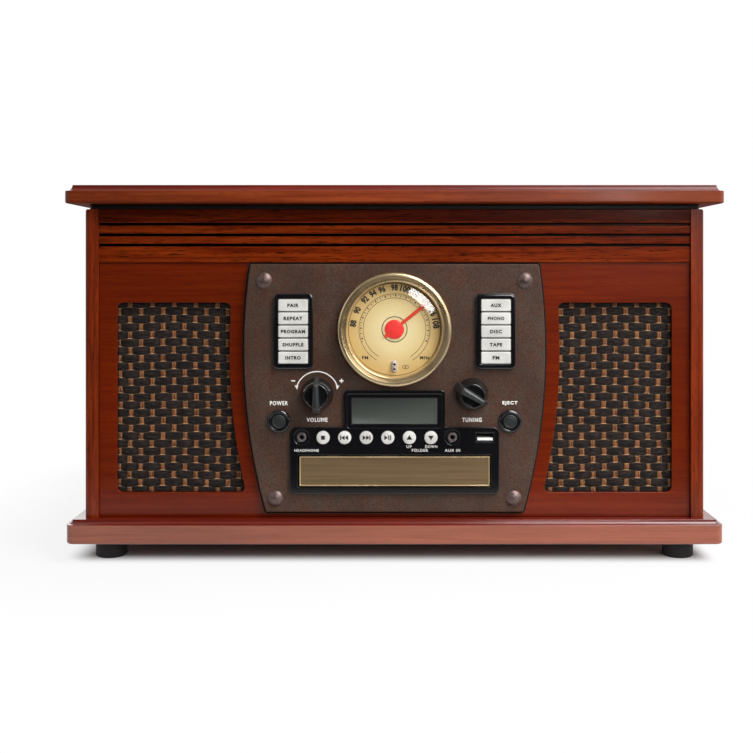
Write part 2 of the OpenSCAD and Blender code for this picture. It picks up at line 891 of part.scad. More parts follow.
module sockets() {
  color(steel) {
    jack(headphone_x);
    jack(aux_x);
    difference() {
      facing(fascia_front + 0.2, plate_front + 16) translate([usb_x, row_z])
        square([13.8, 6.7], center = true);
      facing(fascia_front - eps, plate_front + 14) translate([usb_x, row_z])
        square([12.6, 5.5], center = true);
    }
    for (x = phono_x) difference() {
      union() {
        y_rod(x, phono_z, 4.15, rear_back - 1, rear_back + 9);
        y_rod(x, phono_z, 5.2, rear_front - 12, rear_back + 1.5);
      }
      y_rod(x, phono_z, 1.7, rear_back - 4, rear_back + 9 + eps);
    }
    difference() {
      union() {
        facing(rear_front - 16, rear_back) translate([inlet_x, inlet_z])
          square([22, 12], center = true);
        facing(rear_back, rear_back + 1.6) translate([inlet_x, inlet_z])
          rounded(30, 18, 2);
      }
      facing(rear_back - 11, rear_back + 3) translate([inlet_x, inlet_z])
        rounded(18, 8.6, 4.2);
    }
    for (s = [-1, 1])
      y_rod(inlet_x + s * 4.3, inlet_z, 1.2, rear_back - 12, rear_back - 2);
  }
}

// Boards: one upright behind the controls, one on the base with the transformer
module front_board() {
  board_t = 1.6;
  color("#2f5d3a") facing(board_y, board_y + board_t) difference() {
    translate([-104, 90.5]) square([208, 126]);
    for (s = [-1, 1]) translate([s * knob_x, knob_z]) circle(3 + run_fit);
    translate([0, dial_z]) circle(2 + run_fit);
  }
  color("#333333") {
    facing(board_y - switch_t, board_y) {
      for (s = [-1, 1], n = [-2 : 2])
        translate([s * key_x, key_z + n * key_pitch]) square(6, center = true);
      for (s = [-1, 1]) translate([s * button_x, button_z]) square(6, center = true);
      for (i = [0 : 5]) translate([row_x0 + i * row_pitch, row_z]) square(6, center = true);
    }
    difference() {
      y_rod(-knob_x, knob_z, 8, baffle_back + 0.4, board_y);
      y_rod(-knob_x, knob_z, 3 + run_fit, baffle_back, board_y + eps);
    }
    block(knob_x - 12, knob_x + 12, board_y + 3, board_y + 25, knob_z - 12, knob_z + 12);
    block(knob_x - 12, knob_x - 8, board_y + 1.6, board_y + 3, knob_z - 12, knob_z + 12);
  }
}

module base_electronics() {
  z0 = body_z + 8;
  board_t = 1.6;
  color("#2f5d3a") difference() {
    block(-212, -86, -46, 144, z0, z0 + board_t);
  }
  for (x = [-206, -92], y = [-40, 138]) z_rod(x, y, 3, body_z, z0);
  color("#6d6f72") {
    block(-206, -146, 66, 116, z0 + board_t, z0 + 52);
    block(-196, -156, 56, 126, z0 + 10, z0 + 42);
    block(-134, -94, 96, 100, z0 + board_t, z0 + 46);
    for (i = [0 : 6]) block(-134 + 6 * i, -132 + 6 * i, 100, 122, z0 + board_t, z0 + 46);
  }
  color("#23314f") for (x = [-190, -160, -130])
    z_rod(x, 20, 9, z0 + board_t, z0 + 28);
}

module main_board() {
  front_board();
  base_electronics();
}

// Record drive: a steel plate under the deck carries the spindle and the motor
module drive_unit() {
  plate_drop = 1.6;
  low = tray_low - plate_drop;
  color(steel) difference() {
    union() {
      block(pulley_x - 32, spindle_x + 32, spindle_y - 32, pulley_y + 32, low, tray_low);
      z_rod(pulley_x, pulley_y, 17, low - 24, low);
      z_rod(spindle_x, spindle_y, 8, low - 5, low);
      z_rod(spindle_x, spindle_y, spindle_r, low - 1, mat_top + 8);
      translate([spindle_x, spindle_y, mat_top + 8]) intersection() {
        sphere(r = spindle_r);
        z_rod(0, 0, spindle_r, 0, spindle_r);
      }
    }
    z_rod(pulley_x, pulley_y, shaft_r + run_fit, low - 16, tray_low + eps);
  }
}

module belt_outline(r_add) {
  hull() {
    circle(r = drive_ring_r + r_add, $fn = 72);
    translate([pulley_x - spindle_x, pulley_y - spindle_y])
      circle(r = pulley_r + r_add, $fn = 36);
  }
}

module drive_belt() {
  belt_t = 1;
  color(rubber) translate([spindle_x, spindle_y, belt_z]) linear_extrude(belt_w) difference() {
    belt_outline(gap + belt_t);
    belt_outline(gap);
  }
}

module motor_pulley() {
  color(brass) {
    z_rod(pulley_x, pulley_y, pulley_r, belt_z - 0.6, belt_z + belt_w + 0.6);
    z_rod(pulley_x, pulley_y, shaft_r, tray_low - 14, belt_z);
  }
}

module platter() {
  disc_t = 3;
  rim_w = 4;
  bore_r = spindle_r + run_fit;
  top = platter_t;
  color("#b9bcc0") translate([spindle_x, spindle_y, platter_low]) rotate_extrude($fn = 180)
    union() {
      translate([bore_r, top - disc_t]) square([platter_r - bore_r, disc_t]);
      translate([platter_r - rim_w, 0]) square([rim_w, top]);
      translate([drive_ring_r - 4, 0.5]) square([4, top - 0.5]);
      translate([bore_r, -0.5]) square([8 - bore_r, top]);
    }
}

module platter_mat() {
  mat_r = platter_r - 4;
  groove_depth = 0.6;
  color(rubber) translate([spindle_x, spindle_y, mat_top - mat_t]) difference() {
    cylinder(r = mat_r, h = mat_t);
    z_rod(0, 0, spindle_r + 0.4, -eps, mat_t + eps);
    for (r = [30, 58, 86]) difference() {
      z_rod(0, 0, r + 1, mat_t - groove_depth, mat_t + eps);
      z_rod(0, 0, r - 1, mat_t - groove_depth - eps, mat_t + 2 * eps);
    }
  }
}

// Tonearm: the turret turns about the upright axis, the arm tips in its yoke
pivot_r = 1.5;
yoke_gap = 8.6;
yoke_out = 12.6;

module tonearm_turret() {
  post_top = arm_z - 10;
  color(black) {
    z_rod(arm_x, arm_y, 15, deck_top + gap, post_top);
    z_rod(arm_x, arm_y, 4, tray_low - 16, deck_top + 1);
    difference() {
      for (s = [-1, 1]) translate([arm_x + s * (yoke_gap + yoke_out) / 2, arm_y, 0])
        block(-(yoke_out - yoke_gap) / 2, (yoke_out - yoke_gap) / 2, -6, 6,
          post_top - eps, arm_z + 6);
      x_rod(arm_y, arm_z, pivot_r + run_fit, arm_x - 20, arm_x + 20);
    }
  }
}

module tonearm() {
  block_half = 8;
  weight_r = 10.5;
  color("#c9ccd0") {
    block(arm_x - block_half, arm_x + block_half, arm_y - 8, arm_y + 8, arm_z - 6, arm_z + 6);
    x_rod(arm_y, arm_z, pivot_r, arm_x - yoke_out, arm_x + yoke_out);
    y_rod(arm_x, arm_z, arm_tube_r, arm_y - arm_l, arm_y);
    y_rod(arm_x, arm_z, 3, arm_y, arm_y + 48);
    y_rod(arm_x, arm_z, weight_r, arm_y + 20, arm_y + 42);
  }
  color(black) translate([arm_x, arm_y - arm_l + 2, arm_z]) rotate([0, 0, -head_deg]) {
    block(-8, 8, -36, 0, -2, 3);
    block(-7, 7, -32, -10, -9, -2);
    translate([0, -28, -14]) cylinder(r1 = 0.4, r2 = 1.6, h = 6);
    block(8, 18, -34, -30, 0, 1.6);
  }
}

module cue_lever() {
  lever_l = 32;
  color(black) {
    x_rod(cue_y, cue_z, 4, cue_x - 4.7, cue_x + 4.7);
    x_rod(cue_y, cue_z, cue_pin_r, cue_x - 9, cue_x + 9);
    translate([0, cue_y, cue_z]) rotate([-8, 0, 0])
      block(cue_x - 2.5, cue_x + 2.5, -lever_l, 0, -1.2, 1.8);
    translate([0, cue_y, cue_z]) rotate([-8, 0, 0])
      block(cue_x - 5, cue_x + 5, -lever_l - 6, -lever_l + 4, -1.2, 2.6);
  }
}

module speed_lever() {
  color(steel) {
    block(speed_x - 5, speed_x + 5, speed_y - 3, speed_y + 3, deck_top + gap, deck_top + 8);
    block(speed_x - 1.7, speed_x + 1.7, speed_y - 2.5, speed_y + 2.5,
      tray_low - 4, deck_top + 1);
    block(speed_x - 5, speed_x + 5, speed_y - 3, speed_y + 3,
      tray_low - 4, tray_low - gap);
  }
}

// Cassette deck behind the right side panel
module cassette_deck() {
  x0 = 150;
  x1 = inner_w / 2;
  y0 = slot_y - slot_l / 2 - 6;
  y1 = slot_y + slot_l / 2 + 6;
  z0 = slot_low - 6;
  z1 = slot_high + 6;
  bore_r = 4 + run_fit;
  color("#3a3a3c") difference() {
    union() {
      block(x0, x1, y0, y1, z0, z1);
      block(x1 - 26, x1, y1 - eps, cassette_button_y + 7, cassette_button_z - 7,
        cassette_button_z + 7);
    }
    block(x0 + 8, x1 + eps, y0 + 5.5, y1 - 5.5, slot_low - 0.5, slot_high + 0.5);
    x_rod(cassette_button_y, cassette_button_z, bore_r, x1 - 20, x1 + eps);
  }
  color(steel) for (s = [-1, 1])
    x_rod(slot_y + s * 21, slot_low + 6, 3, x0 + 7, x0 + 14);
}

module cassette_door() {
  half_l = slot_l / 2 - gap;
  color(black) {
    block(door_x - 1, door_x + 1, slot_y - half_l, slot_y + half_l,
      slot_low + gap, door_axis_z + 0.8);
    translate([door_x, slot_y - slot_l / 2 - 2, door_axis_z]) rotate([-90, 0, 0])
      cylinder(r = 1, h = slot_l + 4);
  }
}

module cassette_button() {
  color(black)
    x_rod(cassette_button_y, cassette_button_z, 4, inner_w / 2 - 12, body_w / 2 + 3.5);
}

base_board();
feet();
side_panel_left();
side_panel_right();
front_baffle();
fluted_trim();
rear_panel();
deck_plinth();
lid();
cabinet_hinge_leaves();
lid_hinge_leaves();
cabinet_screws();
speaker_cloths();
speaker_drivers();
control_plate();
plate_rivets();
control_bezels();
dial_bezel();
dial_glass();
dial_face();
dial_pointer();
volume_knob();
tuning_knob();
power_button();
eject_button();
key(-1, 1);  // key_left_1
key(-1, 2);  // key_left_2
key(-1, 3);  // key_left_3
key(-1, 4);  // key_left_4
key(-1, 5);  // key_left_5
key(1, 1);  // key_right_1
key(1, 2);  // key_right_2
key(1, 3);  // key_right_3
key(1, 4);  // key_right_4
key(1, 5);  // key_right_5
cd_fascia();
display_module();
cd_mechanism();
cd_tray();
cd_tray_front();
small_button(0);  // stop_button
small_button(1);  // previous_button
small_button(2);  // next_button
small_button(3);  // play_button
small_button(4);  // up_button
small_button(5);  // down_button
sockets();
main_board();
drive_unit();
drive_belt();
motor_pulley();
platter();
platter_mat();
tonearm_turret();
tonearm();
cue_lever();
speed_lever();
cassette_deck();
cassette_door();
cassette_button();
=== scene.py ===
"""Looks of a table-top stereo music centre: a stained wooden cabinet with a round dial, two grille cloths,
a disc drawer and a record deck under its lid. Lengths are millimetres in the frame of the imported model:
x to the right, the front looks along -y, z up. They turn to metres only where a mesh is made."""
import json

import bmesh
import bpy
import numpy as np
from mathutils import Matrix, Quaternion, Vector


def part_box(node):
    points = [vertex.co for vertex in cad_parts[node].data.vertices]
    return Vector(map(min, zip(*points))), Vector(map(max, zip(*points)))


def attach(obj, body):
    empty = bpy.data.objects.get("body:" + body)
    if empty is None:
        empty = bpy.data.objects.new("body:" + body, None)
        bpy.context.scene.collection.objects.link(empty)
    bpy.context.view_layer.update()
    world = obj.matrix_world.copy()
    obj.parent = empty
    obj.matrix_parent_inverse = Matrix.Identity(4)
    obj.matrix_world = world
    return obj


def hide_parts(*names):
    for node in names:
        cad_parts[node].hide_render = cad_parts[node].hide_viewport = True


MM = 0.001
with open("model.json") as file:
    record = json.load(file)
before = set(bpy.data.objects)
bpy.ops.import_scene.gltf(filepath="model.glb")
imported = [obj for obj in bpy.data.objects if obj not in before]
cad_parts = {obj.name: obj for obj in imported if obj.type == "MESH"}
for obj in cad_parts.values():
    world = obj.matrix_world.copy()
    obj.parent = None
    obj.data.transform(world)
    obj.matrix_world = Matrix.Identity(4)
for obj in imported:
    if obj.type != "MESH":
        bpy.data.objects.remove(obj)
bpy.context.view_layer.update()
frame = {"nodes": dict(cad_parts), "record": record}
body_of = {n: b for b, nodes in frame["record"]["behaviour"]["bodies"].items() for n in nodes}


def span(node):
    """The lowest and the highest corner of a CAD node, in millimetres."""
    return np.array([list(corner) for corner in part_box(node)]) / MM


# Camera, at the photograph's distance and a little lower than its height
VIEW_DISTANCE = 800
VIEW_WIDTH = 568.5
SENSOR = 36
CAMERA_HEIGHT = 221.6
front_of_base = span("base_board")[0, 1]
camera_data = bpy.data.cameras.new("camera")
camera_data.sensor_width = SENSOR
camera_data.lens = SENSOR * VIEW_DISTANCE / VIEW_WIDTH
camera_data.shift_x = -0.0239
camera_data.shift_y = -0.14
camera = bpy.data.objects.new("camera", camera_data)
camera.location = (0, (front_of_base - VIEW_DISTANCE) * MM, CAMERA_HEIGHT * MM)
camera.rotation_euler = (np.pi / 2, 0, 0)
bpy.context.collection.objects.link(camera)
bpy.context.scene.camera = camera
bpy.context.scene.view_settings.view_transform = "Standard"

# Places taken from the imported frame
plate_low, plate_high = span("control_plate")
plate_front = plate_low[1]
baffle_front = span("front_baffle")[0, 1]
fascia_low, fascia_high = span("cd_fascia")
fascia_front = fascia_low[1]
baffle_back = span("front_baffle")[1, 1]
rear_front, rear_back = span("rear_panel")[:, 1]
dial_low, dial_high = span("dial_bezel")
dial_z = (dial_low[2] + dial_high[2]) / 2
dial_r = (dial_high[0] - dial_low[0]) / 2
dial_face_front = span("dial_face")[0, 1]
pivots = {joint["name"]: np.array(joint["pos_m"]) / MM
          for joint in frame["record"]["behaviour"]["joints"] if "pos_m" in joint}
knob_x, _, knob_z = pivots["tuning_turn"]


def middle(node):
    """The middle of a CAD node's box."""
    return span(node).mean(axis=0)


# Materials


def linear(code, alpha=1.0):
    """The linear colour of an sRGB hex code: a straight line at the dark end and a power above it."""
    srgb = np.array([int(code[i:i + 2], 16) for i in (1, 3, 5)]) / 255
    rgb = np.where(srgb <= 0.04045, srgb / 12.92, ((srgb + 0.055) / 1.055) ** 2.4)
    return (*rgb.tolist(), alpha)


def add(tree, kind, inputs=None, out=None, **settings):
    """Adds a node with its settings. Each input takes a plain value, or another node's output socket,
    which is linked to it. Gives the node, or the one output that is asked for."""
    made = tree.nodes.new(kind)
    for name, value in settings.items():
        setattr(made, name, value)
    for key, value in (inputs or {}).items():
        if isinstance(value, bpy.types.NodeSocket):
            tree.links.new(value, made.inputs[key])
        else:
            made.inputs[key].default_value = value
    return made if out is None else made.outputs[out]


def started(name, **values):
    """A new material with its tree and its shader, whose sockets take the given values."""
    made = bpy.data.materials.new(name)
    made.use_nodes = True
    shader = made.node_tree.nodes["Principled BSDF"]
    for key, value in values.items():
        shader.inputs[key.replace("_", " ").title().replace("Ior", "IOR")].default_value = value
    return made, made.node_tree, shader


# A map range takes by number its value, the two ends it comes from and the two ends it goes to
SOFT = {"interpolation_type": "SMOOTHSTEP"}
COLOUR = {"data_type": "RGBA"}
MIX_A, MIX_B, MIX_OUT = 6, 7, 2


def grain_coords(tree, stretch):
    """Object coordinates in millimetres, divided by how long the pattern runs along each axis."""
    coords = add(tree, "ShaderNodeTexCoord", out="Object")
    scale = [1 / (MM * s) for s in stretch]
    return add(tree, "ShaderNodeMapping", {"Vector": coords, "Scale": scale}, 0)


def shaded(tree, colour, share):
    """A colour made darker or lighter by a share, which leaves it as it is at one."""
    grey = add(tree, "ShaderNodeCombineXYZ", {0: share, 1: share, 2: share}, 0)
    return add(tree, "ShaderNodeMix", {0: 1.0, MIX_A: colour, MIX_B: grey}, MIX_OUT,
               blend_type="MULTIPLY", **COLOUR)


def tinted(tree, pattern, low, high, first, second, most=1.0):
    """Goes softly from one colour to another as a pattern rises from low to high, by a share at most."""
    share = add(tree, "ShaderNodeMapRange", {0: pattern, 1: low, 2: high, 4: most}, 0, **SOFT)
    return add(tree, "ShaderNodeMix", {0: share, MIX_A: first, MIX_B: second}, MIX_OUT, **COLOUR)


def stained_wood(name, along, dark, light, pore, roughness=0.3, coat=0.12, pore_share=1.0, painted_shade_zones=(),
                 sheen=0.22):
    """Veneer under a thin lacquer: long streaks, slow patches of stain and short dark pores that run
    along one axis. Each zone is an axis, a place on it and a tint: beyond that place the colour is darkened
    by the tint as painted shade."""
    made, tree, shader = started(name, roughness=roughness, coat_weight=coat, coat_roughness=0.1,
                                 specular_ior_level=sheen)
    streak_run, pore_run, patch_run = [3.2] * 3, [0.55] * 3, [60] * 3
    streak_run[along] = 90
    pore_run[along] = 9
    patch_run[along] = 190
    streaks = add(tree, "ShaderNodeTexNoise", {"Vector": grain_coords(tree, streak_run), "Scale": 1.0,
                                               "Detail": 5.0, "Roughness": 0.62, "Distortion": 0.6}, "Fac")
    patches = add(tree, "ShaderNodeTexNoise", {"Vector": grain_coords(tree, patch_run), "Scale": 1.0,
                                               "Detail": 2.0}, "Fac")
    pores = add(tree, "ShaderNodeTexNoise", {"Vector": grain_coords(tree, pore_run), "Scale": 1.0,
                                             "Detail": 2.0, "Roughness": 0.4}, "Fac")
    colour = tinted(tree, streaks, 0.32, 0.7, linear(dark), linear(light))
    share = add(tree, "ShaderNodeMapRange", {0: patches, 1: 0.3, 2: 0.7, 3: 0.82, 4: 1.14}, 0, **SOFT)
    colour = shaded(tree, colour, share)
    pore_mask = add(tree, "ShaderNodeMapRange", {0: pores, 1: 0.57, 2: 0.68, 3: 0.0, 4: pore_share}, 0,
                    **SOFT)
    colour = add(tree, "ShaderNodeMix", {0: pore_mask, MIX_A: colour, MIX_B: linear(pore)}, MIX_OUT,
                 **COLOUR)
    # Painted shade: each zone darkens the colour beyond its place, in coves, flutes, under the lid and in
    # openings
    for axis, place, tint in painted_shade_zones:
        coords = add(tree, "ShaderNodeTexCoord", out="Object")
        apart = add(tree, "ShaderNodeSeparateXYZ", {0: coords}, axis)
        in_painted_shade = add(tree, "ShaderNodeMix", {0: 1.0, MIX_A: colour, MIX_B: linear(tint)}, MIX_OUT,
                     blend_type="MULTIPLY", **COLOUR)
        colour = tinted(tree, apart, (place - 0.25) * MM, (place + 0.25) * MM, colour, in_painted_shade)
    tree.links.new(colour, shader.inputs["Base Color"])
    relief = add(tree, "ShaderNodeMath", {0: pore_mask, 1: streaks}, 0, operation="SUBTRACT")
    bump = add(tree, "ShaderNodeBump", {"Height": relief, "Strength": 0.25, "Distance": 0.05 * MM}, 0,
               invert=True)
    tree.links.new(bump, shader.inputs["Normal"])
    return made


def leatherette():
    """Embossed brown vinyl: small uneven pebbles about 1 mm across, with painted light on their tops and
    painted shade in the creases, a soft sheen.
    """
    made, tree, shader = started("leatherette", roughness=0.5, specular_ior_level=0.28)
    pebbles = add(tree, "ShaderNodeTexVoronoi", {"Vector": grain_coords(tree, (0.9, 0.9, 0.7)),
                                                 "Scale": 1.0, "Randomness": 1.0}, "Distance", feature="F1")
    grit = add(tree, "ShaderNodeTexNoise", {"Vector": grain_coords(tree, (1.3, 1.3, 2.0)), "Scale": 1.0,
                                            "Detail": 4.0, "Roughness": 0.65}, "Fac")
    clouds = add(tree, "ShaderNodeTexNoise", {"Vector": grain_coords(tree, (42, 42, 42)), "Scale": 1.0,
                                              "Detail": 3.0}, "Fac")
    height = add(tree, "ShaderNodeMath", {0: pebbles, 1: grit}, 0, operation="SUBTRACT")
    blots = add(tree, "ShaderNodeTexNoise", {"Vector": grain_coords(tree, (9, 9, 13)), "Scale": 1.0,
                                             "Detail": 4.0, "Roughness": 0.6, "Distortion": 0.8}, "Fac")
    colour = tinted(tree, blots, 0.36, 0.64, linear("#45281c"), linear("#3f332c"))
    # Painted light and shade: the pebble tops lighter, the creases darker
    pebble_tops_painted_light = add(tree, "ShaderNodeMix", {0: 0.45, MIX_A: colour, MIX_B: linear("#7a5a46")}, MIX_OUT, **COLOUR)
    colour = tinted(tree, height, -0.5, 0.4, pebble_tops_painted_light, colour)
    colour = tinted(tree, clouds, 0.3, 0.7, colour, linear("#33231b"), 0.45)
    tree.links.new(colour, shader.inputs["Base Color"])
    bump = add(tree, "ShaderNodeBump", {"Height": height, "Strength": 0.4, "Distance": 0.1 * MM}, 0,
               invert=True)
    tree.links.new(bump, shader.inputs["Normal"])
    return made


def moulded(name, tint, roughness, grain, depth, coat=0.0):
    """Injection-moulded plastic: one tone with a faint drift, and a surface grain of the given size."""
    made, tree, shader = started(name, roughness=roughness, coat_weight=coat, coat_roughness=0.06)
    drift = add(tree, "ShaderNodeTexNoise", {"Vector": grain_coords(tree, (18, 18, 18)), "Scale": 1.0,
                                             "Detail": 3.0}, "Fac")
    fine = add(tree, "ShaderNodeTexNoise", {"Vector": grain_coords(tree, (grain, grain, grain)),
                                            "Scale": 1.0, "Detail": 2.0}, "Fac")
    share = add(tree, "ShaderNodeMapRange", {0: drift, 1: 0.3, 2: 0.7, 3: 0.88, 4: 1.08}, 0, **SOFT)
    tree.links.new(shaded(tree, linear(tint), share), shader.inputs["Base Color"])
    rough = add(tree, "ShaderNodeMapRange", {0: fine, 1: 0.3, 2: 0.7, 3: roughness * 0.85,
                                             4: roughness * 1.2}, 0, **SOFT)
    tree.links.new(rough, shader.inputs["Roughness"])
    bump = add(tree, "ShaderNodeBump", {"Height": fine, "Strength": 0.3, "Distance": depth * MM}, 0)
    tree.links.new(bump, shader.inputs["Normal"])
    return made


def metal(name, dark, light, roughness, run=(1.5, 1.5, 1.5), relief=0.004, bare=1.0):
    """Bare or plated metal: fine marks that run as far along each axis as its finish, tone to tone. A
    bare share below one is a metal paint, whose binder scatters the rest of the light."""
    made, tree, shader = started(name, metallic=bare, roughness=roughness)
    marks = add(tree, "ShaderNodeTexNoise", {"Vector": grain_coords(tree, run), "Scale": 1.0,
                                             "Detail": 4.0, "Roughness": 0.65}, "Fac")
    colour = tinted(tree, marks, 0.3, 0.7, linear(dark), linear(light))
    tree.links.new(colour, shader.inputs["Base Color"])
    rough = add(tree, "ShaderNodeMapRange", {0: marks, 1: 0.25, 2: 0.75, 3: roughness * 0.8,
                                             4: roughness * 1.25}, 0, **SOFT)
    tree.links.new(rough, shader.inputs["Roughness"])
    if relief:
        bump = add(tree, "ShaderNodeBump", {"Height": marks, "Strength": 0.4, "Distance": relief * MM}, 0)
        tree.links.new(bump, shader.inputs["Normal"])
    return made


def clear_plastic():
    """Clear acrylic that lets the lamps' light through to what lies behind it."""
    made, tree, shader = started("clear_acrylic", roughness=0.015, transmission_weight=1.0, ior=1.49,
                                 base_color=linear("#fefefc"))
    through = add(tree, "ShaderNodeBsdfTransparent", {"Color": linear("#fdfdfa")}, 0)
    shadow = add(tree, "ShaderNodeLightPath", out="Is Shadow Ray")
    choice = add(tree, "ShaderNodeMixShader", {0: shadow, 1: shader.outputs[0], 2: through}, 0)
    tree.links.new(choice, tree.nodes["Material Output"].inputs["Surface"])
    return made


def dial_card():
    """Printed card behind the lens: warm cream, darker and deeper in tone towards its rim as painted shade
    under the bezel, with faint paper fibre.
    """
    made, tree, shader = started("dial_card", roughness=0.55, specular_ior_level=0.3)
    coords = add(tree, "ShaderNodeTexCoord", out="Object")
    centred = add(tree, "ShaderNodeVectorMath", {0: coords, 1: (0, dial_face_front * MM, dial_z * MM)},
                  "Value", operation="DISTANCE")
    fibre = add(tree, "ShaderNodeTexNoise", {"Vector": grain_coords(tree, (0.9, 0.9, 0.9)), "Scale": 1.0,
                                             "Detail": 3.0}, "Fac")
    # Painted shade: darker towards the rim, under the bezel
    colour = tinted(tree, centred, 8 * MM, 38 * MM, linear("#dbcb9e"), linear("#caa76a"))
    colour = tinted(tree, fibre, 0.35, 0.7, colour, linear("#b89c60"), 0.16)
    tree.links.new(colour, shader.inputs["Base Color"])
    return made


def display_glass():
    """Unlit liquid-crystal window: grey green, darker under its upper edge as painted shade, with a smooth
    front glass.
    """
    made, tree, shader = started("display_glass", roughness=0.16, coat_weight=0.6, coat_roughness=0.03)
    low, high = span("display_module")[:, 2] * MM
    z = add(tree, "ShaderNodeSeparateXYZ", {0: add(tree, "ShaderNodeTexCoord", out="Object")}, "Z")
    film = add(tree, "ShaderNodeTexNoise", {"Vector": grain_coords(tree, (0.5, 8, 0.5)), "Scale": 1.0,
                                            "Detail": 1.0}, "Fac")
    # Painted shade: darker towards the window's upper edge
    colour = tinted(tree, z, low, high, linear("#535852"), linear("#363a36"))
    colour = tinted(tree, film, 0.3, 0.7, colour, linear("#70756c"), 0.12)
    tree.links.new(colour, shader.inputs["Base Color"])
    return made


def grille_yarn():
    """Speaker cloth: flat tan straw over bundles of charcoal thread. The weave's own attributes say which
    yarn lies on top, where the pale filament runs and how deep a point lies in the cloth, whose low points
    are darkened as painted shade."""
    made, tree, shader = started("grille_yarn", roughness=0.82, specular_ior_level=0.25)
    straw, filament, depth = [add(tree, "ShaderNodeAttribute", out="Fac", attribute_name=label)
                              for label in ("straw", "filament", "depth")]
    threads = add(tree, "ShaderNodeTexNoise", {"Vector": grain_coords(tree, (4.0, 4.0, 0.55)),
                                               "Scale": 1.0, "Detail": 3.0, "Roughness": 0.7}, "Fac")
    fibres = add(tree, "ShaderNodeTexNoise", {"Vector": grain_coords(tree, (0.62, 4.0, 9.0)),
                                              "Scale": 1.0, "Detail": 3.0, "Roughness": 0.6}, "Fac")
    dark = tinted(tree, threads, 0.42, 0.68, linear("#0c0706"), linear("#372c26"))
    tan = tinted(tree, fibres, 0.36, 0.64, linear("#4d2713"), linear("#95613a"))
    pale = add(tree, "ShaderNodeMix", {0: straw, MIX_A: linear("#6f5644"), MIX_B: linear("#dfae7c")},
               MIX_OUT, **COLOUR)
    colour = add(tree, "ShaderNodeMix", {0: straw, MIX_A: dark, MIX_B: tan}, MIX_OUT, **COLOUR)
    colour = add(tree, "ShaderNodeMix", {0: filament, MIX_A: colour, MIX_B: pale}, MIX_OUT, **COLOUR)
    # Painted shade: the lower a point lies in the weave, the nearer its colour to near-black
    colour = add(tree, "ShaderNodeMix", {0: depth, MIX_A: linear("#0b0806"), MIX_B: colour}, MIX_OUT,
                 **COLOUR)
    tree.links.new(colour, shader.inputs["Base Color"])
    bump = add(tree, "ShaderNodeBump", {"Height": threads, "Strength": 0.5, "Distance": 0.1 * MM}, 0)
    tree.links.new(bump, shader.inputs["Normal"])
    return made


trim_front = span("fluted_trim")[0, 1]
base_top = span("base_board")[1, 2]
lid_top = span("lid")[1, 2]
# Height above which the trim is darkened as a painted shadow of the lid
TRIM_LID_SHADOW_Z = 259.5
# Smooth orange-brown veneer with calm level streaks; the cut walls of its openings are darker, as bare cut
# wood and as painted shade in the recesses
wood_front = stained_wood("veneer_front", 0, "#611904", "#712404", "#3a1004", 0.3, 0.25, 0.35,
                          [(1, baffle_front + 1.0, "#553c32")], sheen=0.12)
# The same stain on open-grained wood: strong dark pores, flutes darkened by painted shade so they read as
# black lines, and a painted shadow of the lid across its top band
wood_trim = stained_wood("veneer_trim", 0, "#5a1804", "#82300a", "#1c0803", 0.3, 0.04, 0.8,
                         [(1, trim_front + 0.45, "#1c100c"), (2, TRIM_LID_SHADOW_Z, "#c2bcc0")], sheen=0.05)
# The same stain with upright grain, brighter between its streaks
wood_side = stained_wood("veneer_side", 2, "#641d08", "#8d3510", "#2a0c04", pore_share=0.5)
# Glossy lacquer over a paler, pinker stain, with painted shade that darkens the cove
wood_base = stained_wood("stained_base", 0, "#854630", "#99523a", "#5a2416", 0.34, 0.8, 0.2,
                         [(2, base_top - 3.6, "#b0593f")])
# Satin lacquer over a brighter stain, with painted shade that darkens the lid's cove
wood_lid = stained_wood("stained_lid", 0, "#6f270c", "#8f3e19", "#471709", 0.36, 0.12, 0.4,
                        [(2, lid_top - 4.8, "#bf8780")])
# Stain without lacquer under the lid: dull, with the grain plain to see
wood_under = stained_wood("stained_underside", 0, "#6a2409", "#8a3a15", "#401507", 0.7, 0.0, 0.4,
                          sheen=0.04)
# Dull brown skin with a fine pebble, with painted light on the pebbles and painted shade in the creases
vinyl = leatherette()
# Mirror-like black with sharp highlights on its edges
gloss_black = moulded("gloss_black_abs", "#101013", 0.13, 0.9, 0.004, coat=0.5)
# Soft black with a spark-eroded grain that spreads highlights wide
satin_black = moulded("textured_black_abs", "#1b1b1c", 0.42, 0.6, 0.03)
# Polished black skirt with one clear highlight
knob_black = moulded("knob_black_abs", "#131314", 0.15, 0.5, 0.004, coat=0.4)
# Grey-black grip, lighter and duller than its skirt
grip_black = moulded("grip_black_abs", "#2b2d2e", 0.36, 0.5, 0.006)
# Matt rubber button, grey where light grazes it
button_black = moulded("button_black_rubber", "#1d1f1f", 0.5, 0.4, 0.02)
# Dull, grainy rubber without a highlight
foot_black = moulded("foot_rubber", "#1b1918", 0.75, 0.5, 0.05)
# Near-black matt foam: the dark bores of the jacks, and round the plate a dark sheet that paints the shadow
# line at its edges
black_foam_and_painted_shadow = moulded("black_foam_and_painted_shadow", "#0c0705", 0.9, 0.5, 0.03)
# Charcoal rubber whose ribs catch thin rings of light
mat_black = moulded("mat_rubber", "#222222", 0.7, 0.5, 0.04)
# Warm white with a faint gloss
key_white = moulded("key_white_abs", "#dedcd6", 0.34, 0.5, 0.004, coat=0.15)
# Dark grey, plain moulding with a soft sheen
tray_grey = moulded("tray_grey_abs", "#2b2b2d", 0.45, 0.5, 0.02)
# Green resin over woven glass, slightly shiny
board_green = moulded("board_glass_fibre", "#2c5a38", 0.45, 0.4, 0.02)
# Pressed fibre painted black: matt and a little uneven
fibreboard = moulded("black_fibreboard", "#1a1817", 0.78, 1.4, 0.12)
# Bright clear-coated red that glows against the cream card
red_plastic = moulded("red_acrylic", "#e23a38", 0.22, 0.5, 0.003, coat=0.4)
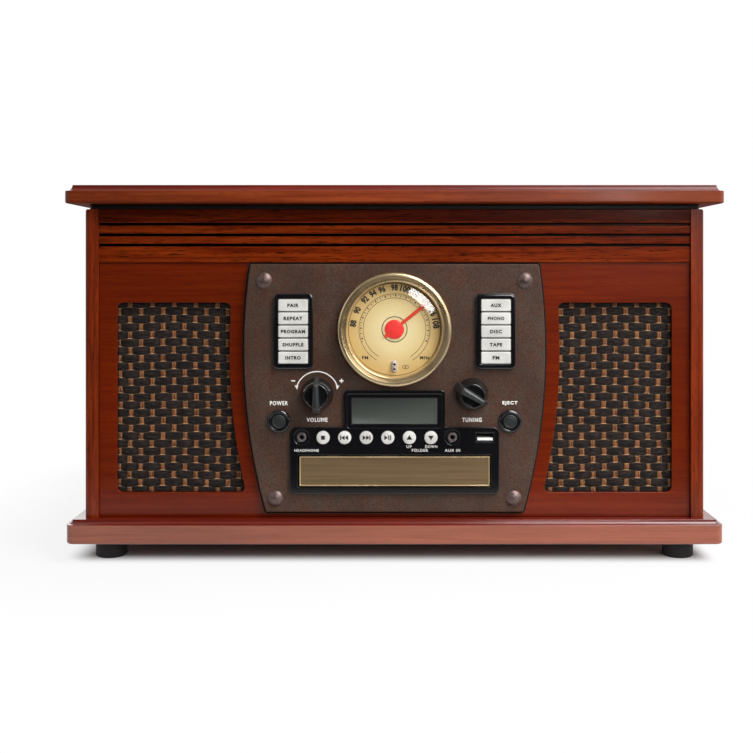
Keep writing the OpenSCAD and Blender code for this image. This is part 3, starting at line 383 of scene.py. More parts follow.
# Orange red, a shade darker than the hub
pointer_red = moulded("pointer_acrylic", "#d0442c", 0.25, 0.5, 0.003, coat=0.3)
# Flat print, warm black
black_ink = moulded("black_ink", "#0e0b09", 0.6, 0.3, 0.002)
# Flat print, the brightest tone on the plate
white_ink = moulded("white_ink", "#fbf9f3", 0.5, 0.3, 0.002)
# Unlit milky lens with a wet highlight
lamp_lens = moulded("lamp_lens", "#b3a9aa", 0.08, 0.5, 0.003, coat=1.0)
# Grey tinned steel round the data socket, darker than nickel
shell_tin = metal("shell_tin", "#313236", "#4a4b50", 0.35)
# Plain red plastic of a right channel's socket
insulator_red = moulded("insulator_red", "#a5231c", 0.35, 0.5, 0.004)
# Plain white plastic of a left channel's socket
insulator_white = moulded("insulator_white", "#dcdcd6", 0.35, 0.5, 0.004)
# Brown metal paint: a blurred highlight on a dusky dome
rivet_bronze = metal("rivet_bronze", "#5c4a45", "#766460", 0.42, relief=0.012, bare=0.7)
# Pale gold plating with broad, bright reflections
champagne = metal("champagne_plating", "#ccb48a", "#dcc59c", 0.27, (40, 40, 40), 0, 0.9)
# Lacquered brass brushed along its length: level hairlines, olive gold
drawer_brass = metal("brushed_brass", "#6d583c", "#887050", 0.42, (70, 70, 0.28), 0.008, 0.5)
# The drawer's polished bevel, a tone lighter than the brass as a painted highlight: a thin bright line round
# the brushed face
drawer_edge_painted_highlight = metal("polished_edge_painted_highlight", "#b59c72", "#cdb48b", 0.25, (40, 40, 40), 0, 0.6)
# Rolled brass sheet with faint marks along the hinge
hinge_brass = metal("rolled_brass", "#96804f", "#b39a66", 0.3, (20, 2, 0.6), 0.004)
# Dull brown-grey plating, a quiet ring round a dark bore
jack_steel = metal("jack_plating", "#5e5652", "#857b75", 0.4, bare=0.6)
# Bright plating with clear reflections
nickel = metal("nickel_plating", "#9d9b96", "#c6c4be", 0.2)
# Blue-grey plated steel sheet, slightly cloudy
zinc = metal("zinc_plating", "#85888a", "#a9abad", 0.34, (1.2, 1.2, 1.2), 0.01)
# Turned aluminium: light grey with a fine sparkle, and upright marks on its rim
cast_alloy = metal("turned_alloy", "#a9abae", "#c9cbce", 0.28, (0.8, 0.8, 30), 0.004)
# Satin tube with hairlines along its length
arm_alloy = metal("satin_alloy", "#b3b5b8", "#cdcfd2", 0.22, (0.6, 24, 0.6), 0.003)
# Cream paper, darker towards its rim under the lens as painted shade from the bezel
card = dial_card()
# Blank grey-green window
lcd = display_glass()
# Colourless dome that shows only as a glare and a bright rim
acrylic = clear_plastic()
# Dark weave with light tan bars
cloth = grille_yarn()

# Meshes worked out on grids


def grid_faces(rows, columns, wrap=False):
    """Quads between neighbouring rows and columns of points numbered row by row."""
    last = columns if wrap else columns - 1
    r, c = np.meshgrid(np.arange(rows - 1), np.arange(last), indexing="ij")
    n = (c + 1) % columns
    corners = (r * columns + c, r * columns + n, (r + 1) * columns + n, (r + 1) * columns + c)
    return np.stack(corners, axis=-1).reshape(-1, 4).tolist()


def joined(*shapes):
    """Several shapes, each points and faces, as one."""
    points, faces = [], []
    for shape_points, shape_faces in shapes:
        start = sum(len(p) for p in points)
        points.append(np.asarray(shape_points, float))
        faces += [[start + i for i in face] for face in shape_faces]
    return np.concatenate(points), faces


def filleted(corners, reach, steps=5, closed=False):
    """An outline whose corners are rounded by a quarter of an ellipse that starts reach away from each
    corner. An open outline keeps its two ends."""
    corners = np.asarray(corners, float)
    if closed:
        corners = np.concatenate([corners[-1:], corners, corners[:1]])
    inner = corners[1:-1]
    before, after = corners[:-2] - inner, corners[2:] - inner
    reach = np.broadcast_to(np.asarray(reach, float), (len(inner),))[:, None]
    before *= reach / np.linalg.norm(before, axis=1)[:, None]
    after *= reach / np.linalg.norm(after, axis=1)[:, None]
    t = np.linspace(0, np.pi / 2, steps)[None, :, None]
    curve = (inner + before + after)[:, None] - after[:, None] * np.cos(t) - before[:, None] * np.sin(t)
    curve = curve.reshape(-1, 2)
    return curve if closed else np.concatenate([corners[:1], curve, corners[-1:]])


AXES = {"front": ((1, 0, 0), (0, 0, 1), (0, -1, 0)), "back": ((1, 0, 0), (0, 0, 1), (0, 1, 0)),
        "up": ((1, 0, 0), (0, 1, 0), (0, 0, 1)), "right": ((0, 1, 0), (0, 0, 1), (1, 0, 0))}


def turned(profile, centre, axis="front", around=72):
    """A profile of radius and height turned once about an axis through centre. Radius 0 closes a pole."""
    across, up, out = np.array(AXES[axis], float)
    r, h = np.asarray(profile, float).T[:, :, None]
    angle = np.linspace(0, 2 * np.pi, around, endpoint=False)[None, :]
    points = (np.asarray(centre, float) + (r * np.cos(angle))[..., None] * across
              + (r * np.sin(angle))[..., None] * up + (h + 0 * angle)[..., None] * out)
    return points.reshape(-1, 3), grid_faces(len(r), around, wrap=True)


def rounded_box_outline(width, height, radius=0.3, steps=7):
    """Points round a rectangle with round corners, counted from the lower right corner."""
    quarter = np.linspace(0, np.pi / 2, steps)
    corners = [(1, -1, -np.pi / 2), (1, 1, 0), (-1, 1, np.pi / 2), (-1, -1, np.pi)]
    return np.concatenate([np.stack([sx * (width / 2 - radius) + radius * np.cos(start + quarter),
                                     sy * (height / 2 - radius) + radius * np.sin(start + quarter)], axis=1)
                           for sx, sy, start in corners])


def lofted(outlines, heights, centre, axis="front", turn=0.0, capped=True):
    """Closed outlines of equal length stacked at heights along an axis, with flat ends."""
    across, up, out = np.array(AXES[axis], float)
    flat = np.stack(outlines) @ np.array([[np.cos(turn), np.sin(turn)], [-np.sin(turn), np.cos(turn)]])
    points = (np.asarray(centre, float) + flat[..., :1] * across + flat[..., 1:] * up
              + np.asarray(heights, float)[:, None, None] * out)
    rows, columns = flat.shape[:2]
    faces = grid_faces(rows, columns, wrap=True)
    if capped:
        faces += [list(range(columns))[::-1], list(range((rows - 1) * columns, rows * columns))]
    return points.reshape(-1, 3), faces


def circle(x, z, r, count=64):
    """Points round a circle, counterclockwise."""
    angle = np.linspace(0, 2 * np.pi, count, endpoint=False)
    return np.stack([x + r * np.cos(angle), z + r * np.sin(angle)], axis=1)


def slab(x, z, width, height, radius=0.3):
    """A rectangle with round corners about a place, counterclockwise."""
    return rounded_box_outline(width, height, radius) + (x, z)


def bowed(low, high, left, right, radius):
    """An outline between two heights whose sides are functions of height, and whose four corners are
    drawn in on quarter circles. It runs counterclockwise."""
    quarter = radius * (1 - np.cos(np.linspace(0, np.pi / 2, 8)))
    z = np.concatenate([low + quarter, np.linspace(low + radius, high - radius, 60)[1:-1],
                        high - quarter[::-1]])
    near = np.clip(radius - np.minimum(z - low, high - z), 0, radius)
    drawn_in = radius - np.sqrt(radius ** 2 - near ** 2)
    return np.concatenate([np.stack([right(z) - drawn_in, z], axis=1),
                           np.stack([left(z) + drawn_in, z], axis=1)[::-1]])


def mesh_of(curve):
    """Points and faces of a curve or a text, whose helper object is thrown away."""
    holder = bpy.data.objects.new("outline", curve)
    bpy.context.collection.objects.link(holder)
    mesh = bpy.data.meshes.new_from_object(holder.evaluated_get(bpy.context.evaluated_depsgraph_get()))
    points = np.zeros(len(mesh.vertices) * 3)
    mesh.vertices.foreach_get("co", points)
    faces = [list(face.vertices) for face in mesh.polygons]
    bpy.data.objects.remove(holder)
    bpy.data.meshes.remove(mesh)
    return points.reshape(-1, 3), faces


def board(outlines, front, back, edge):
    """A board that faces the front. The first outline is its rim and the others are openings, all given
    counterclockwise. The edges round the rim and the openings are rounded on both faces."""
    curve = bpy.data.curves.new("outline", "CURVE")
    curve.dimensions = "2D"
    curve.fill_mode = "BOTH"
    curve.extrude = (back - front) / 2 - edge
    curve.bevel_depth = edge
    curve.bevel_resolution = 2
    curve.offset = -edge
    for number, outline in enumerate(outlines):
        spline = curve.splines.new("POLY")
        spline.points.add(len(outline) - 1)
        way = 1 if number == 0 else -1
        co = np.column_stack([outline[::way], np.zeros(len(outline)), np.ones(len(outline))])
        spline.points.foreach_set("co", co.ravel())
        spline.use_cyclic_u = True
    points, faces = mesh_of(curve)
    return np.column_stack([points[:, 0], (front + back) / 2 - points[:, 2], points[:, 1]]), faces


def tube(outer, inner, centre, start, end, axis="front", edge=0.25):
    """A straight tube between two rounded rectangles, each a width, a height and a corner radius."""
    o, i = np.array(outer, float), np.array(inner, float)
    trim = np.array([2 * edge, 2 * edge, edge])
    rows = [(o, start), (o, end - edge), (o - trim, end), (i + trim, end), (i, end - edge), (i, start),
            (o, start)]
    return lofted([rounded_box_outline(*size) for size, _ in rows], [h for _, h in rows], centre, axis,
                  capped=False)


def piece(name, shape, surface, body, replaces=(), sharp=38, flat=False):
    """A new object from points and faces: doubles merged, faces turned outwards, smooth up to an angle.
    Flat keeps the shading of broad flat faces flat beside their narrow rounded edges."""
    points, faces = shape
    mesh = bpy.data.meshes.new(name)
    mesh.from_pydata((np.asarray(points) * MM).tolist(), [], faces)
    work = bmesh.new()
    work.from_mesh(mesh)
    bmesh.ops.remove_doubles(work, verts=work.verts, dist=1e-6)
    bmesh.ops.recalc_face_normals(work, faces=work.faces)
    work.to_mesh(mesh)
    work.free()
    made = finished(name, mesh, surface, body, replaces, sharp)
    if flat:
        made.modifiers.new("flat faces stay flat", "WEIGHTED_NORMAL").keep_sharp = True
    return made


def finished(name, mesh, surface, body, replaces=(), sharp=38):
    """An object for a mesh, with its material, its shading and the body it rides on."""
    mesh.materials.append(surface)
    mesh.shade_smooth()
    mesh.set_sharp_from_angle(angle=np.radians(sharp))
    made = bpy.data.objects.new(name, mesh)
    bpy.context.collection.objects.link(made)
    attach(made, body)
    if replaces:
        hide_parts(*replaces)
    return made


def softened(node, name, surface, width, segments=3, whole=False, foot=1.0, under=None):
    """A CAD solid with its loose triangles joined and its edges rounded. Whole first turns the triangles
    of each flat face into one face, which suits solids without openings. The lowest edges take foot times
    the width, and faces that look down may take another finish."""
    work = bmesh.new()
    work.from_mesh(frame["nodes"][node].data)
    bmesh.ops.remove_doubles(work, verts=work.verts, dist=2e-6)
    if whole:
        bmesh.ops.dissolve_limit(work, angle_limit=np.radians(0.3), verts=work.verts, edges=work.edges)
    weight = work.edges.layers.float.new("bevel_weight_edge")
    lowest = span(node)[0, 2] * MM
    for edge in work.edges:
        if edge.calc_face_angle(0) > np.radians(35):
            edge[weight] = 1.0 if max(v.co.z for v in edge.verts) < lowest + 1e-5 else 1 / foot
    mesh = bpy.data.meshes.new(name)
    work.to_mesh(mesh)
    work.free()
    made = finished(name, mesh, surface, body_of[node], [node])
    if under:
        mesh.materials.append(under)
        normals = np.zeros(len(mesh.polygons) * 3)
        mesh.polygons.foreach_get("normal", normals)
        mesh.polygons.foreach_set("material_index", (normals[2::3] < -0.9).astype(np.int32))
    bevel = made.modifiers.new("rounded edges", "BEVEL")
    bevel.width = width * foot * MM
    bevel.segments = segments
    bevel.limit_method = "WEIGHT"
    bevel.harden_normals = True
    bevel.use_clamp_overlap = False
    return made


# Wooden boards, panels and mouldings
softened("base_board", "base_board_stained", wood_base, 0.4, 5, whole=True, foot=4)
softened("lid", "lid_board_stained", wood_lid, 0.4, 5, whole=True, foot=3.5, under=wood_under)
softened("deck_plinth", "deck_tray_moulded", satin_black, 0.5)
softened("cd_tray", "disc_tray_moulded", tray_grey, 0.4)
softened("tonearm_turret", "arm_turret_moulded", satin_black, 0.5)
softened("cue_lever", "cue_lever_moulded", satin_black, 0.3)
softened("speed_lever", "speed_lever_turned", arm_alloy, 0.3)
softened("cabinet_hinge_leaves", "hinge_leaves_fixed", hinge_brass, 0.15, 2)
softened("lid_hinge_leaves", "hinge_leaves_moving", hinge_brass, 0.15, 2)
softened("cabinet_screws", "screws_plated", zinc, 0.15, 2)
softened("display_module", "display_window", lcd, 0.2, 2)
softened("platter", "platter_turned", cast_alloy, 0.5)

key_bank_z = middle("key_left_3")[2]
key_bank_x = middle("key_right_3")[0]
button_x, _, button_z = middle("eject_button")
row_z = middle("stop_button")[2]
row_pitch = middle("previous_button")[0] - middle("stop_button")[0]
row_x = middle("stop_button")[0] + row_pitch * np.arange(-1, 7)
drawer_z = middle("cd_tray_front")[2]
BOW_Z = 161
PLATE_BOW_R = 463
GRILLE_BOW_R = 474.7
GRILLE_CORNER = 5


def bow(radius):
    """A function that gives a bowed side's distance from the middle at a height."""
    return lambda z: plate_high[0] - PLATE_BOW_R + np.sqrt(radius ** 2 - (z - BOW_Z) ** 2)


cloth_low, cloth_high = span("speaker_cloths")
grille_right = bowed(cloth_low[2], cloth_high[2], bow(GRILLE_BOW_R), lambda z: cloth_high[0] + 0 * z,
                     GRILLE_CORNER)
grille_left = (grille_right * (-1, 1))[::-1]
window = filleted([(-77.5, 54), (77.5, 54), (77.5, 100.5), (36.2, 100.5), (36.2, 128), (-36.2, 128),
                   (-36.2, 100.5), (-77.5, 100.5)], 1, closed=True)
shared_openings = [window] + [
    outline for side in (-1, 1) for outline in (
        slab(side * key_bank_x, key_bank_z, 23.5, 49.7), circle(side * knob_x, knob_z, 5),
        circle(side * button_x, button_z, 5.9))]
baffle_low, baffle_high = span("front_baffle")
baffle_rim = slab(0, (baffle_low[2] + baffle_high[2]) / 2, baffle_high[0] - baffle_low[0],
                  baffle_high[2] - baffle_low[2])
recess_back = cloth_high[1]
DRIVER_X, DRIVER_R = 167, 44
SHAFT_HOLE_R, DIAL_HOLE_R = 30, 39.5
shaft_hole = circle(0, dial_z, SHAFT_HOLE_R)
dial_hole = circle(0, dial_z, DIAL_HOLE_R)
driver_z = (cloth_low[2] + cloth_high[2]) / 2
piece("baffle_veneered", joined(
    board([baffle_rim, grille_left, grille_right, shaft_hole] + shared_openings,
          baffle_front, recess_back, 0.45),
    board([baffle_rim, circle(-DRIVER_X, driver_z, DRIVER_R), circle(DRIVER_X, driver_z, DRIVER_R),
           shaft_hole] + shared_openings, recess_back, baffle_back, 0.2)),
    wood_front, "cabinet", ["front_baffle"], flat=True)

trim_low, trim_high = span("fluted_trim")
GROOVE_W, GROOVE_D = 2.1, 1.8
GROOVES_Z = (241.5, 249.3, 257.6)
trim_face, groove_floor = trim_low[1], trim_low[1] + GROOVE_D
trim_corners = [(trim_high[1], trim_low[2]), (trim_face, trim_low[2])]
for groove_z in GROOVES_Z:
    below, above = groove_z - GROOVE_W / 2, groove_z + GROOVE_W / 2
    trim_corners += [(trim_face, below), (groove_floor, below), (groove_floor, above), (trim_face, above)]
trim_corners += [(trim_face, trim_high[2]), (trim_high[1], trim_high[2])]
trim_outline = filleted(trim_corners, 0.55, 5, closed=True)
piece("trim_fluted", lofted([trim_outline] * 2, [trim_low[0], trim_high[0]], (0, 0, 0), "right"),
      wood_trim, "cabinet", ["fluted_trim"], flat=True)

plate_outline = bowed(plate_low[2], plate_high[2], lambda z: -bow(PLATE_BOW_R)(z), bow(PLATE_BOW_R), 1.6)
piece("plate_covered", board([plate_outline, dial_hole] + shared_openings, plate_front, baffle_front, 0.9),
      vinyl, "cabinet", ["control_plate"], flat=True)

# A dark sheet just beyond the plate's rim: a painted shadow line round the plate
SHADOW_LINE_W = 1.6
shadow_line_outline = bowed(plate_low[2] - SHADOW_LINE_W, plate_high[2] + SHADOW_LINE_W,
                       lambda z: -bow(PLATE_BOW_R)(z) - SHADOW_LINE_W, lambda z: bow(PLATE_BOW_R)(z) + SHADOW_LINE_W, 2.4)
piece("plate_painted_shadow_line", board([shadow_line_outline, dial_hole] + shared_openings, baffle_front - 0.6, baffle_front,
                            0.15), black_foam_and_painted_shadow, "cabinet", flat=True)

rear_low, rear_high = span("rear_panel")
PHONO_X = (112, 130)
PHONO_Z = 66
INLET_X, INLET_Z = -168, 62
rear_openings = [slab(-195 + 10 * i, 150, 4, 44, 1.9) for i in range(12)]
rear_openings += [circle(x, PHONO_Z, 5.3) for x in PHONO_X] + [slab(INLET_X, INLET_Z, 22.6, 12.6)]
piece("rear_board_painted", board(
    [slab(0, (rear_low[2] + rear_high[2]) / 2, rear_high[0] - rear_low[0], rear_high[2] - rear_low[2])]
    + rear_openings, rear_front, rear_back, 0.35), fibreboard, "cabinet", ["rear_panel"],
    flat=True)

# Fascia, drawer and display surround
TAB_X, TAB_Z = 38.6, fascia_high[2]
SHOULDER_Z = 102.5
fascia_x = fascia_high[0]
fascia_outline = filleted(
    [(-fascia_x, fascia_low[2]), (fascia_x, fascia_low[2]), (fascia_x, SHOULDER_Z), (TAB_X, SHOULDER_Z),
     (TAB_X, TAB_Z), (-TAB_X, TAB_Z), (-TAB_X, SHOULDER_Z), (-fascia_x, SHOULDER_Z)],
    [4.7, 4.7, 4.7, 0.8, 3, 3, 0.8, 4.7], 9, closed=True)
DATA_X = 69
WINDOW_Z = 114.85
fascia_openings = [slab(0, drawer_z, 147, 24.2, 0.5), slab(DATA_X, row_z, 14.2, 7.1),
                   slab(0, WINDOW_Z, 71.8, 25.5, 1.2)]
fascia_openings += [circle(x, row_z, 5.0) for x in row_x[1:-1]]
jack_x = row_x[[0, -1]]
fascia_openings += [circle(x, row_z, 5.65) for x in jack_x]
jack_collar = filleted([(3.7, -2.5), (3.7, -1.2), (4.1, -1.0), (5.8, -1.0), (5.8, -2.5)], 0.15, 3)
piece("fascia_moulded", joined(
    board([fascia_outline] + fascia_openings, fascia_front, plate_front, 0.55),
    tube((72.2, 25.9, 1), (65.2, 19.9, 0.4), (0, fascia_front, WINDOW_Z), -2.4, -0.8, edge=0.3),
    tube((150.2, 27.4, 1), (147, 24.2, 0.4), (0, plate_front, drawer_z), plate_front - baffle_back - 1, 0),
    *[turned(np.concatenate([jack_collar, jack_collar[:1]]), (x, fascia_front, row_z)) for x in jack_x]),
    gloss_black, "cabinet", ["cd_fascia"], flat=True)

drawer_low, drawer_high = span("cd_tray_front")
DRAWER_W, DRAWER_H = drawer_high[0] - drawer_low[0], drawer_high[2] - drawer_low[2]
DRAWER_T = drawer_high[1] - drawer_low[1]
EDGE_W, SUNK = 1.0, 0.4


def drawer_front(name, rows, surface, capped):
    """A part of the drawer's front, from rows of inset and height above its back."""
    outlines = [rounded_box_outline(DRAWER_W - 2 * inset, DRAWER_H - 2 * inset, 0.5) for inset, _ in rows]
    return piece(name, lofted(outlines, [h for _, h in rows], (0, drawer_high[1], drawer_z), capped=capped),
                 surface, "cd_tray", ["cd_tray_front"], flat=True)


drawer_front("drawer_front_brushed", [(EDGE_W - 0.02, 0), (EDGE_W - 0.02, DRAWER_T - SUNK - 0.05),
                                      (EDGE_W + 0.03, DRAWER_T - SUNK)], drawer_brass, True)
# The polished bevel, lighter than the brushed face as a painted highlight
drawer_front("drawer_edge_polished_painted_highlight", [
    (0, 0), (0, DRAWER_T - 0.5), (0.2, DRAWER_T - 0.1), (0.4, DRAWER_T), (0.7, DRAWER_T - 0.05),
    (EDGE_W, DRAWER_T - SUNK), (EDGE_W, 0), (0, 0)], drawer_edge_painted_highlight, False)

# Keys, each a cap on a stem
KEY_W, KEY_H = 22.5, 9.05
key_rows = [(0, 0.6), (0, 3.6), (0.12, 3.95), (0.45, 4.15), (0.9, 4.2)]
stem_end = plate_front - span("eject_button")[1, 1]
for side in ("left", "right"):
    for number in range(1, 6):
        node = f"key_{side}_{number}"
        x, _, z = middle(node)
        cap = lofted([rounded_box_outline(KEY_W - 2 * inset, KEY_H - 2 * inset, 0.8 - inset * 0.5)
                      for inset, _ in key_rows], [h for _, h in key_rows], (x, plate_front, z))
        stem = [rounded_box_outline(KEY_W - 1, KEY_H - 0.6, 0.3)] * 2
        stem_shape = lofted(stem, [stem_end, 0.8], (x, plate_front, z))
        piece(f"{node}_cap", joined(cap, stem_shape), key_white, node, [node], flat=True)

# Grille cloths
STRAW_PITCH = 8.45
WEFT_PITCH = 6.0
STRAW_HALF_W = 1.7
WAVE = 0.45
STRAW_T = 0.25
WEFT_T = 0.55
BULGE = 0.5
WEAVE_START = {-1: 1.3, 1: -1.3}
FILAMENT_HALF_W = 0.33


def weave(x, z):
    """Height and yarns of a plain weave. Straw i stands at i straw pitches, bundle j lies at j weft
    pitches, and the straw is on top where i + j is even. Each yarn rises and falls as a cosine, a bundle
    is half an ellipse across, and it swells where it is on top, so its edges wave."""
    i = np.round(x / STRAW_PITCH)
    dx = x - i * STRAW_PITCH
    m = np.floor(z / WEFT_PITCH)
    f = z / WEFT_PITCH - m
    swell = np.where((i + m) % 2 == 0, -1, 1) * np.cos(np.pi * dx / STRAW_PITCH)
    edge = 0.5 + BULGE / WEFT_PITCH * swell
    upper = f > edge
    j = m + upper
    d = np.where(upper, (1 - f) / (1 - edge), f / edge)
    over = np.where((i + j) % 2 == 0, 1, -1)
    straw_h = (WAVE * over * np.cos(np.pi / 2 * d)
               + STRAW_T * (1 - np.clip(np.abs(dx) / STRAW_HALF_W, 0, 1) ** 6))
    weft_h = (-WAVE * over * np.cos(np.pi * dx / STRAW_PITCH)
              + WEFT_T * np.sqrt(np.clip(1 - d ** 2, 0, 1)))
    on_top = (np.abs(dx) < STRAW_HALF_W) & (straw_h > weft_h)
    height = np.where(on_top, straw_h, weft_h)
    reach = np.abs(f - edge) * WEFT_PITCH
    filament = np.clip(1.4 - reach / FILAMENT_HALF_W, 0, 1)
    filament = filament * np.where(np.abs(dx) < STRAW_HALF_W + 0.6, 1, 0.5)
    height = np.maximum(height, 0.35 * filament)
    # How high a point lies in the cloth, which the yarn's material turns into painted shade on the low
    # points
    low, high = -WAVE, WAVE + WEFT_T
    depth = np.clip((height - low) / (high - low) * 1.5, 0, 1)
    straw = np.where(np.abs(dx) < STRAW_HALF_W, np.where(on_top, 1.0, 0.0), 0.0)
    return height, straw, filament, depth


def grille_cloth(side, name):
    """A sheet stretched in its recess. Rows run up the aperture, and each row runs from the bowed inner
    edge, a circle about a far point, to the straight outer edge, both drawn in near the corners."""
    low, high = cloth_low, cloth_high
    rows, columns = 400, 192
    z = np.linspace(low[2], high[2], rows)[:, None]
    near_end = np.clip(GRILLE_CORNER - np.minimum(z - low[2], high[2] - z), 0, GRILLE_CORNER)
    drawn_in = GRILLE_CORNER - np.sqrt(GRILLE_CORNER ** 2 - near_end ** 2)
    inner = bow(GRILLE_BOW_R)(z) + drawn_in
    outer = high[0] - drawn_in
    x = inner + (outer - inner) * np.linspace(0, 1, columns)[None, :]
    z = z + 0 * x
    drift = 0.45 * np.sin(z / 17 + 1) + 0.3 * np.sin(x / 13 + z / 29)
    sag = 0.3 * np.sin(x / 11 + 2) + 0.25 * np.sin(z / 23 - x / 19)
    height, straw, filament, depth = weave(side * (x + drift) + WEAVE_START[side], z - low[2] - 0.5 + sag)
    points = np.stack([side * x, low[1] + 0.55 - height, z], axis=-1).reshape(-1, 3)
    faces = grid_faces(rows, columns)
    if side < 0:
        faces = [face[::-1] for face in faces]
    mesh = bpy.data.meshes.new(name)
    mesh.from_pydata((points * MM).tolist(), [], faces)
    for label, values in (("straw", straw), ("filament", filament), ("depth", depth)):
        attribute = mesh.attributes.new(label, "FLOAT", "POINT")
        attribute.data.foreach_set("value", values.ravel().astype(np.float32))
    made = finished(name, mesh, cloth, "cabinet", ["speaker_cloths"], sharp=80)
    return made


grille_cloth(-1, "grille_cloth_left")
grille_cloth(1, "grille_cloth_right")

# Rivets, rings and bezels on the control plate


def dome(radius, height, steps=14):
    """Profile of a spherical cap from its pole to its rim."""
    ball = (radius ** 2 + height ** 2) / (2 * height)
    angle = np.linspace(0, np.arcsin(radius / ball), steps)
    return np.stack([ball * np.sin(angle), height - ball + ball * np.cos(angle)], axis=1)


RIVET_R = 6.25
RIVET_H = 3.0
rivet_places = [(sx * 99.7, 214.4) for sx in (-1, 1)] + [(sx * 91.1, 47.6) for sx in (-1, 1)]
rivet_profile = np.concatenate([dome(RIVET_R, RIVET_H), [(RIVET_R, -0.1), (2, -0.1), (2, -14), (0, -14)]])
rivets = [turned(rivet_profile, (x, plate_front, z), around=48) for x, z in rivet_places]
piece("rivet_domes", joined(*rivets), rivet_bronze, "cabinet", ["plate_rivets"])

BANK_W, BANK_H, BANK_R = 30.0, 57.4, 3.4
BANK_WALL_X, BANK_WALL_Z = 3.25, 3.85
bank_profile = filleted([(0, 0), (0, 2.9), (1, 2.9), (1, 0)], [0.7, 0.45], 6)


def bank_outline(share):
    """The bezel's outline at a share of the way from its outer to its inner edge."""
    return rounded_box_outline(BANK_W - 2 * BANK_WALL_X * share, BANK_H - 2 * BANK_WALL_Z * share,
                               BANK_R + (0.8 - BANK_R) * share)


def key_bank(side):
    """A frame lofted from outside over its rounded lip to the opening, then closed behind."""
    rows = np.concatenate([bank_profile, bank_profile[:1]])
    return lofted([bank_outline(share) for share, _ in rows], rows[:, 1],
                  (side * key_bank_x, plate_front, key_bank_z), capped=False)


ring_profile = np.array([(8.9, 0), (8.9, 0.9), (8.55, 1.7), (7.9, 2.25), (7.2, 2.4), (6.5, 2.2), (6.05, 1.6),
                         (5.85, 0.8), (5.8, -0.6), (7, -0.6), (7, 0), (8.9, 0)])
rings = [turned(filleted(ring_profile, 0.15, 3), (s * button_x, plate_front, button_z)) for s in (-1, 1)]
piece("control_bezels_moulded", joined(key_bank(-1), key_bank(1), *rings), gloss_black, "cabinet",
      ["control_bezels"])

button_profile = filleted(
    [(0, 2.55), (3.3, 2.7), (3.5, 2.35), (3.9, 2.35), (4.1, 2.75), (5.45, 2.2), (5.5, 1.2), (5.5, stem_end),
     (0, stem_end)], [0.4, 0.12, 0.12, 0.4, 0.5, 0.2, 0.2], 4)
for node, side in (("power_button", -1), ("eject_button", 1)):
    piece(f"{node}_cap", turned(button_profile, (side * button_x, plate_front, button_z)), button_black,
          node, [node])

# Knobs
KNOB_H = plate_front - span("volume_knob")[0, 1]
knob_end = plate_front - span("volume_knob")[1, 1]
skirt_profile = np.concatenate([
    filleted([(0, 11.2), (7.6, 11.2), (7.9, 12.2), (8.9, 12.2), (9.5, 11.0), (12.2, 1.8), (12.6, 0.3)],
             [0.3, 0.4, 0.45, 0.5, 0.9], 7), [(3, 0.3), (3, knob_end), (0, knob_end)]])
TIP_L, TAIL_L, TIP_W, TAIL_W = 13.8, 14.6, 3.2, 6.6
grip_rows = np.array([(1.5, 0, 0), (2.6, 0, 0), (6, 0.02, 0.05), (KNOB_H - 2.2, 0.04, 0.1),
                      (KNOB_H - 1.3, 0.12, 0.3), (KNOB_H - 0.6, 0.3, 0.6), (KNOB_H - 0.15, 0.55, 1.1),
                      (KNOB_H, 0.8, 1.6)])


def grip_outline(height, narrower, shorter):
    """The grip's outline at a height: a wedge from a wide tail to a narrow tip, with round corners,
    narrowed by a share. Both ends draw in along a straight slope as it rises."""
    share = np.clip((height - 1.5) / (KNOB_H - 1.5), 0, 1)
    tip = TIP_L + (9.4 - TIP_L) * share - shorter
    tail = TAIL_L + (9.8 - TAIL_L) * share - shorter
    half = [(TAIL_W / 2 + (TIP_W - TAIL_W) / 2 * (TAIL_L + place) / (TIP_L + TAIL_L)) * (1 - narrower)
            for place in (-tail, tip)]
    reach = [min(1.0, 0.9 * half[0])] * 2 + [min(0.6, 0.9 * half[1])] * 2
    corners = [(-half[0], -tail), (half[0], -tail), (half[1], tip), (-half[1], tip)]
    return filleted(corners, reach, 6, closed=True)


def pointer_knob(node, joint, turn):
    """A gloss skirt turned about the shaft, and a satin grip lofted from the plate outwards."""
    x, _, z = pivots[joint]
    centre = (x, plate_front, z)
    piece(f"{node}_skirt", turned(skirt_profile, centre, around=96), knob_black, node,
          [node])
    piece(f"{node}_grip", lofted([grip_outline(*row) for row in grip_rows], grip_rows[:, 0], centre,
                                 turn=np.radians(turn)), grip_black, node, [node])


pointer_knob("volume_knob", "volume_turn", 0)
pointer_knob("tuning_knob", "tuning_turn", -120)

# Dial
centre_of_dial = (0, plate_front, dial_z)
band = np.radians(np.linspace(-52, 118, 16))
bezel_profile = np.concatenate([
    [(dial_r, 0), (dial_r, 3.6)],
    np.stack([dial_r - 2.6 + 2.6 * np.cos(band[2:]), 4.3 + 2.6 * np.sin(band[2:])], axis=1),
    filleted([(39.4, 5.6), (38.9, 4.3), (38.2, 4.2), (37.7, 4.9), (37.0, 5.0), (36.5, 4.4), (36.3, 3.4),
              (36.3, 2.6), (38.1, 2.6), (38.1, 0), (38.1, -4), (39.2, -4), (39.2, 0)], 0.22, 4)])
bezel = turned(np.concatenate([bezel_profile, bezel_profile[:1]]), centre_of_dial, around=144)
piece("dial_bezel_plated", bezel, champagne, "cabinet", ["dial_bezel"])

LENS_R = 36.2
LENS_RISE = 3.9
LENS_T = 1.1
lens_profile = np.concatenate([dome(LENS_R, LENS_RISE, 20) + (0, 1.3 + LENS_T - 0.6),
                               [(38.0, 2.5), (38.0, 1.2)],
                               (dome(LENS_R - 0.6, LENS_RISE, 20) + (0, 1.3 - 0.6))[::-1]])
piece("dial_lens_domed", turned(lens_profile, centre_of_dial, around=144), acrylic, "cabinet",
      ["dial_glass"])

